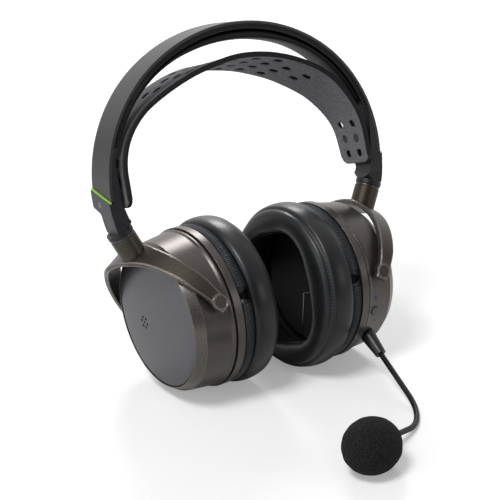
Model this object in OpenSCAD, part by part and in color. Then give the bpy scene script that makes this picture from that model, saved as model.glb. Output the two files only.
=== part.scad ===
// Over-ear communication headset with a boom microphone.
// It stands on its two ear cups and its microphone windscreen, leaning back a little.
// Everything is drawn upright about the middle of the head and then leaned as one piece:
// +X is the wearer's left, -Y the way the wearer looks, +Z up. All sizes are in mm.
// One side is drawn at +X and mirrored for the other.

/* [Headband] */
// Half width over the outside of the headband
band_half = 89; // [82:1:98]
// Height of the crown above the ends of the side arcs
band_rise = 84.3; // [76:0.5:92]
// Radius of the crown arc beyond the half width
crown_extra = 5; // [3:0.5:9]
// Front to back width of the spring strip
band_w = 24; // [18:1:30]
// Thickness of the spring strip
strip_t = 1.5; // [0.8:0.1:2.5]
// Thickness of the black channel under the strip
channel_t = 3; // [2:0.1:4]
// Thickness of strip, channel and soft roll together at the crown
stack_t = 10.3; // [8.5:0.1:13]
// Thickness of the same stack where the side arcs end
stack_end_t = 6.15; // [5.6:0.05:8]
// Height of the side arcs' centres
arc_z = 65; // [60:1:70]
// Height at which the soft roll and its channel end
roll_end_z = 90; // [86:1:96]

/* [Suspension strap] */
// Distance from the outside of the band to the strap's middle line
strap_gap = 10; // [9:0.5:13]
// Drop of the strap's middle line below the band's crown
strap_drop = 22.6; // [20:0.2:30]
// Radius of the strap's crown beyond its half width
strap_crown_extra = 29; // [22:1:38]
// Height at which the strap's sides turn straight
strap_bend_z = 72; // [70:1:80]
// Height of the strap's lower ends
strap_end_z = 55.5; // [54:0.5:60]
// Front to back width of the strap
strap_w = 30; // [24:1:36]
// Thickness of the strap
strap_t = 2.3; // [1.5:0.1:3]
// Lean of the strap about its posts, degrees
strap_lean = 6; // [0:0.5:9]
// Distance between the two holes of a pair
hole_pitch_y = 11.5; // [9:0.5:14]
// Distance from one pair of holes to the next
hole_pitch_z = 9.3; // [8:0.1:9.6]
// Radius of the adjusting holes
hole_r = 2.2; // [1.8:0.1:2.8]
// Height of the posts the strap hangs on
post_z = 71; // [67:0.5:72]

/* [End caps] */
// Outward bulge of the end caps past the strip
cap_bulge = 1.2; // [0.8:0.1:2]
// Width of an end cap at its lower end
cap_foot_w = 15.6; // [15:0.2:16.6]
// Height at which a cap starts to narrow
cap_shoulder_z = 56; // [52:0.5:60]
// Height of the green line at the front edge
stripe_front_z = 61.5; // [60:0.5:64]
// Height of the green line at the rear edge
stripe_rear_z = 68; // [65:0.5:72]
// Height of the green line itself
stripe_h = 0.9; // [0.5:0.1:1.5]
// Thickness of the cover plate below the green line
plate_t = 1; // [0.6:0.1:1.2]

/* [Slider and swivel] */
// Distance from the outside of the band to the swivel's top
stem_in = 6.5; // [5:0.5:9]
// Height of the swivel's top
stem_z = 42; // [37:0.5:43]
// Forward offset of the swivel from the middle of the band's width
stem_fwd = 4.5; // [0:0.5:4.5]
// Inward lean of the swivel's axis, degrees
stem_lean = 25.5; // [20:0.5:30]
// Radius of the collar
collar_r = 7.5; // [6.8:0.1:8]
// Thickness of the flat slider
slider_t = 1.6; // [1:0.1:2]
// Width of the flat slider
slider_w = 10; // [7:0.5:10.5]
// Inward lean of the slider's travel, degrees
slide_lean = 7; // [5:0.5:8]
// Length of the slider inside the cap
slider_hold = 30; // [26:0.5:31]
// Radius of the swivel pin
swivel_pin_r = 2.5; // [1.5:0.1:3]
// Turn of the left cup about its stem at rest, degrees
swivel_left = 7.5; // [-10:0.5:12]
// Turn of the right cup about its stem at rest, degrees
swivel_right = -4.2; // [-10:0.1:12]

/* [Yoke] */
// Gap between the barrel's edge and the yoke's feet
yoke_gap = 2; // [1.5:0.1:4]
// How much tighter the yoke's end arcs are than its half length
yoke_end_in = 9.5; // [8:0.5:13]
// Thickness of the yoke's strap
yoke_t = 3; // [2:0.1:3.2]
// Width of the yoke under the collar
yoke_w = 16; // [14:0.5:18]
// Width of the yoke halfway along its arms
yoke_arm_w = 12; // [10:0.5:14]
// Width of the yoke at the pivots
yoke_foot_w = 7.6; // [6:0.2:10]
// Slope of the pivot axis, front end up, degrees
pin_slope = 12; // [6:0.5:14]
// Radius of the pivot pins
pivot_r = 1.8; // [1.2:0.1:2.4]

/* [Ear cups] */
// Distance from the swivel's top inwards to a cup's centre
cup_in = 30.8; // [28:0.1:32]
// Height of a cup's centre
cup_z = -9.5; // [-12:0.5:-8]
// Tilt of the left cup, outer face down, degrees
cup_tilt_left = 2; // [0:0.5:4]
// Tilt of the right cup, outer face down, degrees
cup_tilt_right = 3.6; // [0:0.1:5]
// Radius of the barrel at its rear edge
barrel_r = 46; // [42:0.5:50]
// Taper of the barrel from its rear edge to its outer edge
barrel_taper = 2; // [1:0.1:4]
// Width of the chamfered ring seen from outside
bezel_w = 3.7; // [3:0.1:6]
// Rim of the flange outside the barrel
flange_rim = 1.3; // [0.6:0.1:2]
// Distance of the barrel's outer edge from the pivot axis
bezel_d = 9.3; // [8:0.1:11]
// Distance of the plate's seam from the pivot axis
plate_d = 14.5; // [13:0.1:15]
// Height of the plate's dome
plate_dome = 2.4; // [0.5:0.1:3]
// Distance of the barrel's rear edge from the pivot axis
barrel_d = 8.3; // [7.5:0.1:8.8]
// Width of the dark groove behind the barrel
groove_w = 1.2; // [0.8:0.1:2]
// Thickness of the flange
flange_t = 4.5; // [3:0.1:6]
// Thickness of the ribbed ring
ring_t = 6.9; // [5:0.1:8]
// Height of the lip round the barrel's rear edge
lip_h = 0.5; // [0.2:0.1:0.8]
// Wall of barrel and flange
wall = 2; // [1.5:0.1:2.4]

/* [Ear pads] */
// How far an ear pad stands out past the flange
pad_rim = 2; // [1:0.1:4]
// Width of an ear pad's ring
pad_w = 15.7; // [13:0.1:19]
// Thickness of an ear pad
pad_t = 17.6; // [14:0.2:20]
// Distance of the stitched seam inside the pad's edge
seam_in = 3.2; // [2.4:0.1:5]

/* [Sound] */
// Radius of a driver
driver_r = 20; // [15:0.5:24]
// Forward offset of a driver in its cup
driver_fwd = 6; // [0:0.5:8]

/* [Controls] */
// Angle of the status light below the front pivot, degrees
led_angle = 18.8; // [16:0.2:20]
// Angle of the power button, degrees
button_angle = 29.3; // [28:0.1:31]
// Angle of the pinhole, degrees
pinhole_angle = 38.4; // [36.5:0.1:39.5]
// Angle of the microphone socket, degrees
socket_angle = 52; // [50:0.5:60]
// Radius of the power button
button_r = 2.6; // [2:0.1:3]
// Travel of the power button, which stands that much less a little proud of the barrel
button_travel = 0.8; // [0.4:0.1:1]
// Angle of the volume wheel, degrees
wheel_angle = 150; // [140:1:158]
// Radius of the volume wheel
wheel_r = 7; // [6:0.2:8]
// Thickness of the volume wheel
wheel_t = 4; // [3:0.2:5]
// Angle of the audio jack, degrees
jack_angle = 108; // [100:1:116]
// Radius of the audio jack's bore
jack_r = 1.8; // [1.75:0.05:2]
// Angle of the charging port, degrees
port_angle = 86; // [76:1:92]
// Width of the charging port's mouth
port_w = 9; // [8.4:0.1:9.4]
// Height of the charging port's mouth
port_h = 3.3; // [2.6:0.1:3.6]

/* [Boom microphone] */
// Radius of the plug's foot
plug_r = 4.5; // [4:0.1:4.6]
// Radius of the plug's tip
plug_tip_r = 3.2; // [2.6:0.1:4]
// Length of the plug
plug_len = 15; // [10:0.5:20]
// Radius of the plug's contact pin
contact_r = 1.75; // [1.2:0.05:1.75]
// Radius of the gooseneck
neck_r = 1.6; // [1.2:0.1:2]
// Radius of the gooseneck's bend
neck_bend_r = 33; // [26:1:34]
// Radius of the microphone capsule
capsule_r = 5; // [3:0.5:6]
// Length of the microphone capsule
capsule_len = 9; // [6:0.5:12]
// Radius of the windscreen
foam_r = 15.6; // [13:0.2:18]
// Radius of the windscreen across its shorter axis
foam_waist_r = 14.6; // [12:0.2:15]

/* [Stand] */
// Backward lean of the headset on its three feet, degrees
lean = 13.55; // [8:0.05:18]
// Sideways lean to the wearer's left, degrees
side_lean = 1.2; // [0:0.1:3]
// Height by which the soft pads give way under the headset's weight
pad_sag = 0.45; // [0:0.05:0.5]

/* [Hidden] */

left = 1;
right = -1;
round_fn = 96;
tiny = 0.01;
seat = 0.1;        // gap between a piece and the one it is fixed on
slip = 0.3;        // gap between pieces that move past each other
fit = 0.05;        // running fit of a pin in its bore
join_step = 0.4;   // an arch changes from one arc to the next this far before they touch
over = 200;        // reach of cutting shapes past the part
foot_seam = 2.4;   // height of the round end of a cap's foot
foot_lip = 0.2;    // how far that end stands out past the collar
foot_bite = 0.3;   // how far it runs up into the cap

// Headband and strap
crown_r = band_half + crown_extra;
strap_half = band_half - strap_gap;
strap_top_z = arc_z + band_rise - strap_drop;
strap_crown_r = strap_half + strap_crown_extra;
cap_r = side_r(band_half, band_rise, crown_r) + cap_bulge;
cap_cx = side_cx(band_half, band_rise, crown_r);
channel_w = band_w - 0.8;
roll_w = band_w - 4;
roll_flatter = 11.6;
roll_crown_r = crown_r + roll_flatter;
cap_depth = 6.7;
cap_inner_x = band_half - cap_depth;
screw_shank_r = 1.1;
screw_head_r = 1.7;

// Swivel, from the stem's top downwards
stem_x = band_half - stem_in;
slide_clear = slip + 0.05;
shoulder_t = 1.2;
collar_top = shoulder_t + 2 * slip;
collar_wall = 3.2;
screw_r = 4.2;
screw_t = 1.6;
screw_top = collar_top + collar_wall + slip;
collar_bore_r = screw_r + 2 * slip;
hub_top = screw_top + screw_t + 2 * slip;

// Yoke, in the frame of the pivot axis
cup_x = stem_x - cup_in;
yoke_half = barrel_r + yoke_gap + yoke_t;
yoke_end_r = yoke_half - yoke_end_in;
stem_end = 13.2;
hub_dx = stem_x - stem_end * sin(stem_lean) - cup_x;
hub_dz = stem_z - stem_end * cos(stem_lean) - cup_z;
hub_up = hub_dz * cos(pin_slope) - stem_fwd * sin(pin_slope);
yoke_lean = atan2(hub_dx, hub_up);
yoke_hub_rise = norm([hub_dx, hub_up]);
yoke_rise = yoke_hub_rise + 2;
boss_r = 4.6;
pivot_inner_y = barrel_r - 6;
pivot_head_r = 3.4;
pivot_head_t = 1.1;
tilt_in = 5;         // furthest tilt of a cup's top towards its yoke
yoke_relief = 0.5;   // gap that the yoke's underside leaves there

// Cups, along the cup's axis
bezel_r = barrel_r - barrel_taper;
plate_r = bezel_r - bezel_w;
flange_r = barrel_r + flange_rim;
pad_r = flange_r + pad_rim;
ear_r = pad_r - pad_w;
seam_r = pad_r - seam_in;
flange_d = barrel_d + groove_w;
ring_d = flange_d + flange_t + seat;
pad_d = ring_d + ring_t + seat;
face_d = pad_d + pad_t;
baffle_r = ear_r + 4.4;
baffle_t = 2;
baffle_d = ring_d + slip;
bulkhead_t = 1.6;
socket_d = -2.2;
control_d = -2.7;
light_r = 1.05;
vent_r = 0.75;
vent_pitch = 2.9;
vent_y = 11;
wheel_d = 0.6;
wheel_out = 0.5;
wheel_x = barrel_r - wheel_r + wheel_out;
axle_r = 1;
jack_len = 12;
port_len = 7;
port_shell_t = 0.5;
socket_r = plug_r - 0.3;
socket_len = 9;

// Boom, in the left cup's frame: down, rearwards, outwards
neck_start = radial_point(socket_angle, barrel_r + plug_len, socket_d);
neck_run = [36.5, -40, -8.8];
mic_run = [-2.6, -25, -60.5];
neck_corner = neck_start + neck_run;
mic_point = neck_corner + mic_run;
neck_end = mic_point + unit(neck_corner - mic_point) * (capsule_len / 2 + seat);

// Row origin: under the middle of the part's box, on the floor that the pads rest on
pad_slope = 14.19;  // slope of the resting pads' faces against upright
stand_x = -1.1;
stand_y = 50.4;
stand_z = pad_r * cos(pad_slope) - cup_z * cos(lean) - pad_sag;

function unit(v) = v / norm(v);
// Radius and centre of the side arcs of a three-centred arch
function side_r(half, rise, top_r) =
  (top_r * top_r - half * half - pow(top_r - rise, 2)) / (2 * (top_r - half));
function side_cx(half, rise, top_r) = half - side_r(half, rise, top_r);
function join_angle(half, rise, top_r) =
  atan2(side_cx(half, rise, top_r), top_r - rise);
function radial_point(angle, r, d) = [r * sin(angle), -r * cos(angle), d];

// ---------- frames ----------
module stand() {
  translate([stand_x, stand_y, stand_z]) rotate([-lean, side_lean, 0]) children();
}

// A soft piece with the little of it taken off that the floor presses flat
module resting() {
  difference() {
    children();
    translate([-over, -over, -2 * over]) cube([2 * over, 2 * over, 2 * over]);
  }
}

module on_side(s) {
  stand() mirror([s == right ? 1 : 0, 0, 0]) children();
}

// Down the swivel's axis: +Z points up the stem, the origin is at the cap's lower seam
module stem_frame() {
  translate([stem_x, -stem_fwd, stem_z]) rotate([0, stem_lean, 0]) children();
}

// Turns a yoke and its cup about the stem to where they rest
module swivelled(s) {
  stem_frame() rotate([0, 0, s == left ? swivel_left : swivel_right])
    rotate([0, -stem_lean, 0]) translate([-stem_x, stem_fwd, -stem_z]) children();
}

module pivot_frame(s) {
  on_side(s) swivelled(s) translate([cup_x, 0, cup_z]) rotate([-pin_slope, 0, 0]) children();
}

// +Z along the crown of the yoke, +Y along the pivots
module yoke_frame(s) {
  pivot_frame(s) rotate([0, yoke_lean, 0]) children();
}

// +Z out of the cup's outer face, +X down, +Y rearwards
module cup_frame(s) {
  tilt = s == left ? cup_tilt_left : cup_tilt_right;
  pivot_frame(s) rotate([0, tilt, 0]) rotate([0, 90, 0]) children();
}

// +Z straight out of the barrel at an angle below the front pivot
module radial(angle, d = 0) {
  rotate([0, 0, angle - 90]) translate([0, 0, d]) rotate([0, 90, 0]) children();
}

// ---------- shared shapes ----------
// Filled three-centred arch standing on the centres of its side arcs. Each side is a whole
// circle, and the crown's circle fills between the places where they meet.
module arch_area(half, rise, top_r) {
  lower = side_r(half, rise, top_r);
  meet = top_r * sin(join_angle(half, rise, top_r)) - join_step;
  for (s = [-1, 1]) translate([s * (half - lower), 0]) circle(r = lower, $fn = 2 * round_fn);
  intersection() {
    translate([0, rise - top_r]) circle(r = top_r, $fn = 2 * round_fn);
    translate([-meet, 0]) square([2 * meet, over]);
  }
}

// Layer between two arches, as a flat area
module arch_layer(outer, inner) {
  difference() {
    arch_area(outer[0], outer[1], outer[2]);
    arch_area(inner[0], inner[1], inner[2]);
  }
}

// Stands a flat area of the band's plane up, centred on y
module across(w) {
  translate([0, 0, arc_z]) rotate([90, 0, 0]) linear_extrude(height = w, center = true) children();
}

function inset(t) = [band_half - t, band_rise - t, crown_r - t];

// Straight round bar between two points
module bar(a, b, r) {
  d = b - a;
  translate(a) rotate([0, acos(d[2] / norm(d)), atan2(d[1], d[0])])
    cylinder(r = r, h = norm(d), $fn = 48);
}

// ---------- headband ----------
module band_spring() {
  color([0.30, 0.29, 0.28]) stand() difference() {
    across(band_w) arch_layer(inset(0), inset(strip_t));
    below_stripe(0);
  }
}

// Everything below the slanted line on the cap's outside, moved down by drop
module below_stripe(drop) {
  slant = atan2(stripe_rear_z - stripe_front_z, band_w);
  translate([0, 0, (stripe_front_z + stripe_rear_z) / 2 - drop])
    rotate([slant, 0, 0]) translate([-over, -over, -2 * over]) cube([2 * over, 2 * over, 2 * over]);
}

module band_channel() {
  groove_w = 0.6;
  groove_deep = 0.4;
  groove_lines = [0.9, 1.9];
  color([0.08, 0.08, 0.09]) stand() difference() {
    across(channel_w) arch_layer(inset(strip_t + seat), inset(strip_t + channel_t));
    translate([-over, -over, roll_end_z - over]) cube([2 * over, 2 * over, over]);
    for (line = groove_lines, s = [-1, 1]) {
      translate([0, s * (channel_w / 2 - groove_deep / 2 + tiny), 0])
        across(groove_deep + 2 * tiny)
          arch_layer(inset(strip_t + line - groove_w / 2), inset(strip_t + line + groove_w / 2));
    }
  }
}

module band_roll() {
  inner = [band_half - stack_end_t, band_rise - stack_t, roll_crown_r];
  color([0.10, 0.10, 0.11]) stand() difference() {
    across(roll_w) arch_layer(inset(strip_t + channel_t + seat), inner);
    translate([-over, -over, roll_end_z + 1 - over]) cube([2 * over, 2 * over, over]);
  }
}

// ---------- end caps ----------
module cap_profile() {
  sl = [sin(stem_lean), cos(stem_lean)];
  foot = [stem_x, stem_z] + foot_seam * sl;
  across_foot = [cos(stem_lean), -sin(stem_lean)] * (collar_r - 0.2);
  polygon([[cap_inner_x + 1.6, roll_end_z - 0.3], [cap_inner_x - 0.2, cap_shoulder_z + 3],
    [cap_inner_x - 2.6, cap_shoulder_z - 5],
    foot - across_foot, foot + across_foot, [cap_cx + cap_r - 0.4, cap_shoulder_z - 8],
    [over, cap_shoulder_z - 6], [over, roll_end_z - 0.3]]);
}

module cap_body(skin) {
  intersection() {
    rotate([90, 0, 0]) linear_extrude(height = over, center = true) intersection() {
      cap_profile();
      translate([cap_cx, arc_z]) circle(r = cap_r - skin, $fn = 2 * round_fn);
    }
    cap_front();
    round_foot();
  }
}

// Round at the collar, opening at 45 degrees into the cap's square corners
module round_foot() {
  stem_frame() translate([0, 0, foot_seam]) cylinder(r1 = collar_r, r2 = collar_r + over, h = over, $fn = round_fn);
}

// The cap seen from its side: full width, then cut in at the rear above the foot
module cap_front() {
  full = band_w / 2;
  fore = -stem_fwd - cap_foot_w / 2;
  rear = -stem_fwd + cap_foot_w / 2;
  rotate([90, 0, 90]) linear_extrude(height = over)
    polygon([[-full, over], [-full, cap_shoulder_z], [fore, cap_shoulder_z - 6], [fore, 0],
      [rear, 0], [rear, cap_shoulder_z - 3], [rear + 1.2, cap_shoulder_z - 1.6], [full, cap_shoulder_z + 1],
      [full, over]]);
}

// +Z up the slider's way, from the middle of the cap's lower seam
module slide_frame() {
  translate([stem_x, -stem_fwd, stem_z]) rotate([0, slide_lean, 0]) children();
}

// Way for the slider through cap and foot
module slider_way() {
  way = [slider_t + 2 * slide_clear, slider_w + 2 * slide_clear, slider_hold + 6];
  slide_frame() translate([-way[0] / 2, -way[1] / 2, -4]) cube(way);
}

module end_cap(s) {
  color([0.17, 0.175, 0.19]) on_side(s) difference() {
    union() {
      cap_body(0);
      stem_frame() cylinder(r = collar_r + foot_lip, h = foot_seam + foot_bite, $fn = round_fn);
    }
    slider_way();
    strip_bed();
    plate_bed(seat);
    for (p = screw_places()) screw_at(p) cylinder(r = screw_shank_r + 0.1, h = 5, center = true, $fn = 32);
  }
}

// Everything outside the strip's inner face and above the line
module strip_bed() {
  difference() {
    outside_arc(cap_r - cap_bulge - strip_t - seat);
    below_stripe(stripe_h + seat);
  }
}

// All that lies outside an arc about the centre of the side arcs
module outside_arc(r) {
  translate([cap_cx, 0, arc_z]) rotate([90, 0, 0]) linear_extrude(height = over, center = true) difference() {
    translate([0, -over]) square([over, 2 * over]);
    circle(r = r, $fn = 2 * round_fn);
  }
}

// Layer between two arcs about the centre of the side arcs
module arc_skin(r_out, r_in, w) {
  translate([cap_cx, 0, arc_z]) rotate([90, 0, 0]) linear_extrude(height = w, center = true)
    intersection() {
      difference() {
        circle(r = r_out, $fn = 2 * round_fn);
        circle(r = r_in, $fn = 2 * round_fn);
      }
      translate([0, -over]) square([over, 2 * over]);
    }
}

// Tapering bed of the cover plate below the line
module plate_area(gap) {
  full = band_w / 2 - 1.2 + gap;
  fore = -stem_fwd - 4.2 - gap;
  rear = -stem_fwd + 5.4 + gap;
  low = cap_shoulder_z - 10.5 - gap;
  rotate([90, 0, 90]) linear_extrude(height = over)
    polygon([[-full, over], [-full, cap_shoulder_z - 0.6 - gap], [fore, cap_shoulder_z - 2.4 - gap],
      [fore, low + 1.5], [fore + 1.5, low], [rear - 3, low], [rear - 0.8, low + 2.6],
      [rear, cap_shoulder_z - 2.2 - gap], [full, cap_shoulder_z + 0.6 - gap], [full, over]]);
}

module plate_bed(gap) {
  intersection() {
    outside_arc(cap_r - plate_t - gap);
    plate_area(gap);
    below_stripe(stripe_h);
  }
}

function screw_places() = [[2.9, cap_shoulder_z + 3]];

// +Z out of the cap's outside at a height and a distance from its middle
module screw_at(p) {
  turn = asin((p[1] - arc_z) / cap_r);
  translate([cap_cx, p[0], arc_z]) rotate([0, 90 - turn, 0]) translate([0, 0, cap_r]) children();
}

module cap_plate(s) {
  color([0.29, 0.30, 0.33]) on_side(s) difference() {
    intersection() {
      arc_skin(cap_r, cap_r - plate_t, over);
      plate_area(0);
      below_stripe(stripe_h + seat);
    }
    for (p = screw_places()) screw_at(p) cylinder(r = screw_head_r + 0.15, h = 5, center = true, $fn = 32);
  }
}

module accent_stripe(s) {
  color([0.55, 0.78, 0.25]) on_side(s) intersection() {
    arc_skin(cap_r - 0.3, cap_r - 0.3 - plate_t, band_w);
    difference() {
      below_stripe(seat / 2);
      below_stripe(stripe_h);
    }
  }
}

module cap_screws() {
  color([0.45, 0.45, 0.46]) for (s = [right, left], p = screw_places()) {
    on_side(s) screw_at(p) difference() {
      union() {
        translate([0, 0, -0.9]) cylinder(r = screw_head_r, h = 0.8, $fn = 32);
        translate([0, 0, -2.4]) cylinder(r = screw_shank_r, h = 1.6, $fn = 32);
      }
      translate([0, 0, -0.5]) cylinder(r = 0.7, h = 1, $fn = 6);
    }
  }
}

// ---------- suspension strap ----------
module strap_lean_frame() {
  stand() translate([0, 0, post_z]) rotate([-strap_lean, 0, 0]) translate([0, 0, -post_z]) children();
}

module suspension_strap() {
  outer = [strap_half + strap_t / 2, strap_top_z - strap_bend_z + strap_t / 2, strap_crown_r + strap_t / 2];
  inner = [strap_half - strap_t / 2, strap_top_z - strap_bend_z - strap_t / 2, strap_crown_r - strap_t / 2];
  color([0.40, 0.41, 0.43]) strap_lean_frame() difference() {
    translate([0, 0, strap_bend_z]) rotate([90, 0, 0])
      linear_extrude(height = strap_w, center = true) {
        intersection() {
          arch_layer(outer, inner);
          translate([-over, 0]) square([2 * over, over]);
        }
        for (s = [-1, 1]) {
          translate([s * strap_half - strap_t / 2, strap_end_z - strap_bend_z])
            square([strap_t, strap_bend_z - strap_end_z]);
        }
      }
    for (y = [-1, 1], k = [-1, 0, 1]) {
      translate([0, y * hole_pitch_y / 2, post_z + k * hole_pitch_z]) rotate([0, 90, 0])
        cylinder(r = hole_r, h = 2 * over, center = true, $fn = 32);
    }
  }
}

// Two headed posts in the inner face of each cap
module strap_posts(s) {
  head_r = hole_r + 0.5;
  head_t = 1.1;
  shank_r = hole_r - slip;
  head_x = strap_half - strap_t / 2 - slip - head_t;
  color([0.12, 0.12, 0.13]) on_side(s) translate([0, 0, post_z]) rotate([-strap_lean, 0, 0]) for (y = [-1, 1]) {
    translate([0, y * hole_pitch_y / 2, 0]) rotate([0, 90, 0]) {
      translate([0, 0, head_x]) cylinder(r = head_r, h = head_t, $fn = 32);
      translate([0, 0, head_x + head_t - tiny])
        cylinder(r = shank_r, h = cap_inner_x - head_x - head_t, $fn = 32);
    }
  }
}

// ---------- slider and swivel ----------
module slider(s) {
  root = 1.2;
  color([0.36, 0.34, 0.32]) on_side(s) {
    slide_frame() translate([-slider_t / 2, -slider_w / 2, -root]) cube([slider_t, slider_w, slider_hold + root]);
    stem_frame() {
      translate([0, 0, -shoulder_t - slip]) cylinder(r = collar_r - 0.3, h = shoulder_t, $fn = round_fn);
      translate([0, 0, -screw_top + slip / 2])
        cylinder(r = swivel_pin_r, h = screw_top - slip - shoulder_t, $fn = 48);
    }
  }
}

module swivel_screw(s) {
  color([0.62, 0.62, 0.64]) on_side(s) stem_frame() translate([0, 0, -screw_top - screw_t]) difference() {
    cylinder(r = screw_r, h = screw_t, $fn = 48);
    translate([0, 0, -tiny]) cylinder(r = 1.5, h = 0.8, $fn = 6);
  }
}

module collar(s) {
  color([0.33, 0.31, 0.28]) on_side(s) swivelled(s) difference() {
    stem_frame() translate([0, 0, -stem_end - 6]) cylinder(r = collar_r, h = stem_end + 6 - collar_top, $fn = round_fn);
    stem_frame() translate([0, 0, -stem_end - 7])
      cylinder(r = collar_bore_r, h = stem_end + 7 - collar_top - collar_wall, $fn = round_fn);
    stem_frame() cylinder(r = swivel_pin_r + fit, h = over, center = true, $fn = 48);
    unplaced_yoke_frame() yoke_solid(yoke_rise + seat);
  }
}

module unplaced_yoke_frame() {
  translate([cup_x, 0, cup_z]) rotate([-pin_slope, 0, 0]) rotate([0, yoke_lean, 0]) children();
}

// Filled hoop of the yoke with its crown at a rise, as wide as the whole part
module yoke_solid(rise) {
  grow = rise - yoke_rise;
  rotate([90, 0, 90]) linear_extrude(height = over, center = true)
    hoop_area(yoke_half + grow, rise, yoke_end_r + grow);
}

// The hoop's flat area, given by the radius of its end arcs, with straight feet
module hoop_area(half, rise, end_r) {
  top_r = (half * half + rise * rise - 2 * half * end_r) / (2 * (rise - end_r));
  meet = top_r * sin(atan2(half - end_r, top_r - rise)) - join_step;
  intersection() {
    for (s = [-1, 1]) translate([s * (half - end_r), 0]) circle(r = end_r, $fn = 2 * round_fn);
    translate([-over, 0]) square([2 * over, over]);
  }
  intersection() {
    translate([0, rise - top_r]) circle(r = top_r, $fn = 2 * round_fn);
    translate([-meet, 0]) square([2 * meet, over]);
  }
  translate([-half, -boss_r]) square([2 * half, boss_r]);
}

// The yoke seen from above: widest under the collar, slimmer along the arms
module yoke_outline(hub, arm, foot) {
  side = [[foot, -yoke_half - 1], [arm, -26], [hub, -9], [hub, 9], [arm, 26], [foot, yoke_half + 1]];
  linear_extrude(height = over, center = true)
    polygon(concat(side, [for (k = [5:-1:0]) [-side[k][0], side[k][1]]]));
}

module yoke(s) {
  foot = yoke_foot_w / 2;
  crown = yoke_w / 2;
  color([0.37, 0.35, 0.32]) yoke_frame(s) difference() {
    union() {
      intersection() {
        rotate([90, 0, 90]) linear_extrude(height = yoke_w, center = true) difference() {
          hoop_area(yoke_half, yoke_rise, yoke_end_r);
          hoop_area(yoke_half - yoke_t, yoke_rise - yoke_t, yoke_end_r - yoke_t);
          translate([-yoke_half + yoke_t, -over]) square([2 * (yoke_half - yoke_t), over]);
        }
        rotate([90, 0, 0]) linear_extrude(height = over, center = true)
          polygon([[-foot, -boss_r], [foot, -boss_r], [foot, 6], [crown, yoke_rise - 4], [crown, over],
            [-crown, over], [-crown, yoke_rise - 4], [-foot, 6]]);
        yoke_outline(crown + 0.5, yoke_arm_w / 2, foot + 0.6);
      }
      for (y = [-1, 1]) {
        translate([0, y * (yoke_half - yoke_t / 2), 0]) rotate([90, 0, 0])
          cylinder(r = boss_r, h = yoke_t, center = true, $fn = 48);
      }
      intersection() {
        placed_stem() translate([0, 0, -stem_end - 4])
          cylinder(r = collar_bore_r - 2 * seat, h = stem_end + 4 - hub_top, $fn = 48);
        difference() {
          translate([0, 0, over / 2]) cube([over, over, over], center = true);
          yoke_solid(yoke_rise - tiny);
        }
      }
    }
    rotate([0, tilt_in - yoke_lean, 0]) rotate([0, 90, 0]) swept_cup();
    rotate([90, 0, 0]) cylinder(r = pivot_r + fit, h = over, center = true, $fn = 48);
    for (y = [-1, 1]) {
      translate([0, y * (yoke_half - pivot_head_t / 2), 0]) rotate([90, 0, 0])
        cylinder(r = pivot_head_r + seat, h = pivot_head_t + 2 * seat, center = true, $fn = 48);
    }
  }
}

// Room for the cup's outer half at its furthest tilt
module swept_cup() {
  cup_ring([[0, 0], [barrel_r + yoke_relief, 0], [bezel_r + yoke_relief, bezel_d], [plate_r + 2 * yoke_relief, plate_d],
    [plate_r / 2, plate_d + plate_dome + yoke_relief], [0, plate_d + plate_dome + yoke_relief]]);
}

// The stem's frame seen from the yoke's
module placed_stem() {
  rotate([0, -yoke_lean, 0]) rotate([pin_slope, 0, 0]) translate([-cup_x, 0, -cup_z]) stem_frame() children();
}

module pivot_pins(s) {
  color([0.30, 0.29, 0.27]) yoke_frame(s) for (y = [-1, 1]) rotate([y * 90, 0, 0]) {
    translate([0, 0, pivot_inner_y]) cylinder(r = pivot_r, h = yoke_half - pivot_inner_y - pivot_head_t / 2, $fn = 48);
    translate([0, 0, yoke_half - pivot_head_t]) cylinder(r = pivot_head_r, h = pivot_head_t, $fn = 48);
  }
}

// ---------- ear cups ----------
module cup_ring(points) {
  rotate_extrude($fn = 2 * round_fn) polygon(points);
}

module barrel(s) {
  slope = (barrel_r - bezel_r) / (bezel_d + barrel_d);
  boss_y = barrel_r - slope * (barrel_d + boss_r) - 0.4;
  color([0.35, 0.33, 0.31]) cup_frame(s) difference() {
    union() {
      cup_ring([[barrel_r - wall, -barrel_d], [barrel_r + lip_h, -barrel_d], [barrel_r + lip_h, 1 - barrel_d],
        [barrel_r - 0.2, 2.4 - barrel_d], [bezel_r, bezel_d], [0, bezel_d],
        [0, bezel_d - bulkhead_t], [bezel_r - wall, bezel_d - bulkhead_t]]);
      for (y = [-1, 1]) rotate([y * 90, 0, 0]) translate([0, 0, pivot_inner_y - 2])
        cylinder(r = boss_r, h = boss_y - pivot_inner_y + 2, $fn = 48);
      if (s == left) control_seats();
    }
    for (y = [-1, 1]) rotate([y * 90, 0, 0]) translate([0, 0, pivot_inner_y - slip])
      cylinder(r = pivot_r + fit, h = over, $fn = 48);
    if (s == left) control_holes();
  }
}

// Cheeks that carry the volume wheel's axle
module control_seats() {
  for (z = [-1, 1]) radial(wheel_angle, wheel_d) {
    translate([z * (wheel_t / 2 + slip + 0.8), 0, wheel_x]) rotate([0, 90, 0])
      cylinder(r = 2.6, h = 1.6, center = true, $fn = 32);
    translate([z * (wheel_t / 2 + slip + 0.8) - 0.8, -2.6, wheel_x])
      cube([1.6, 5.2, barrel_r - wheel_x - 1.4]);
  }
}

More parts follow.
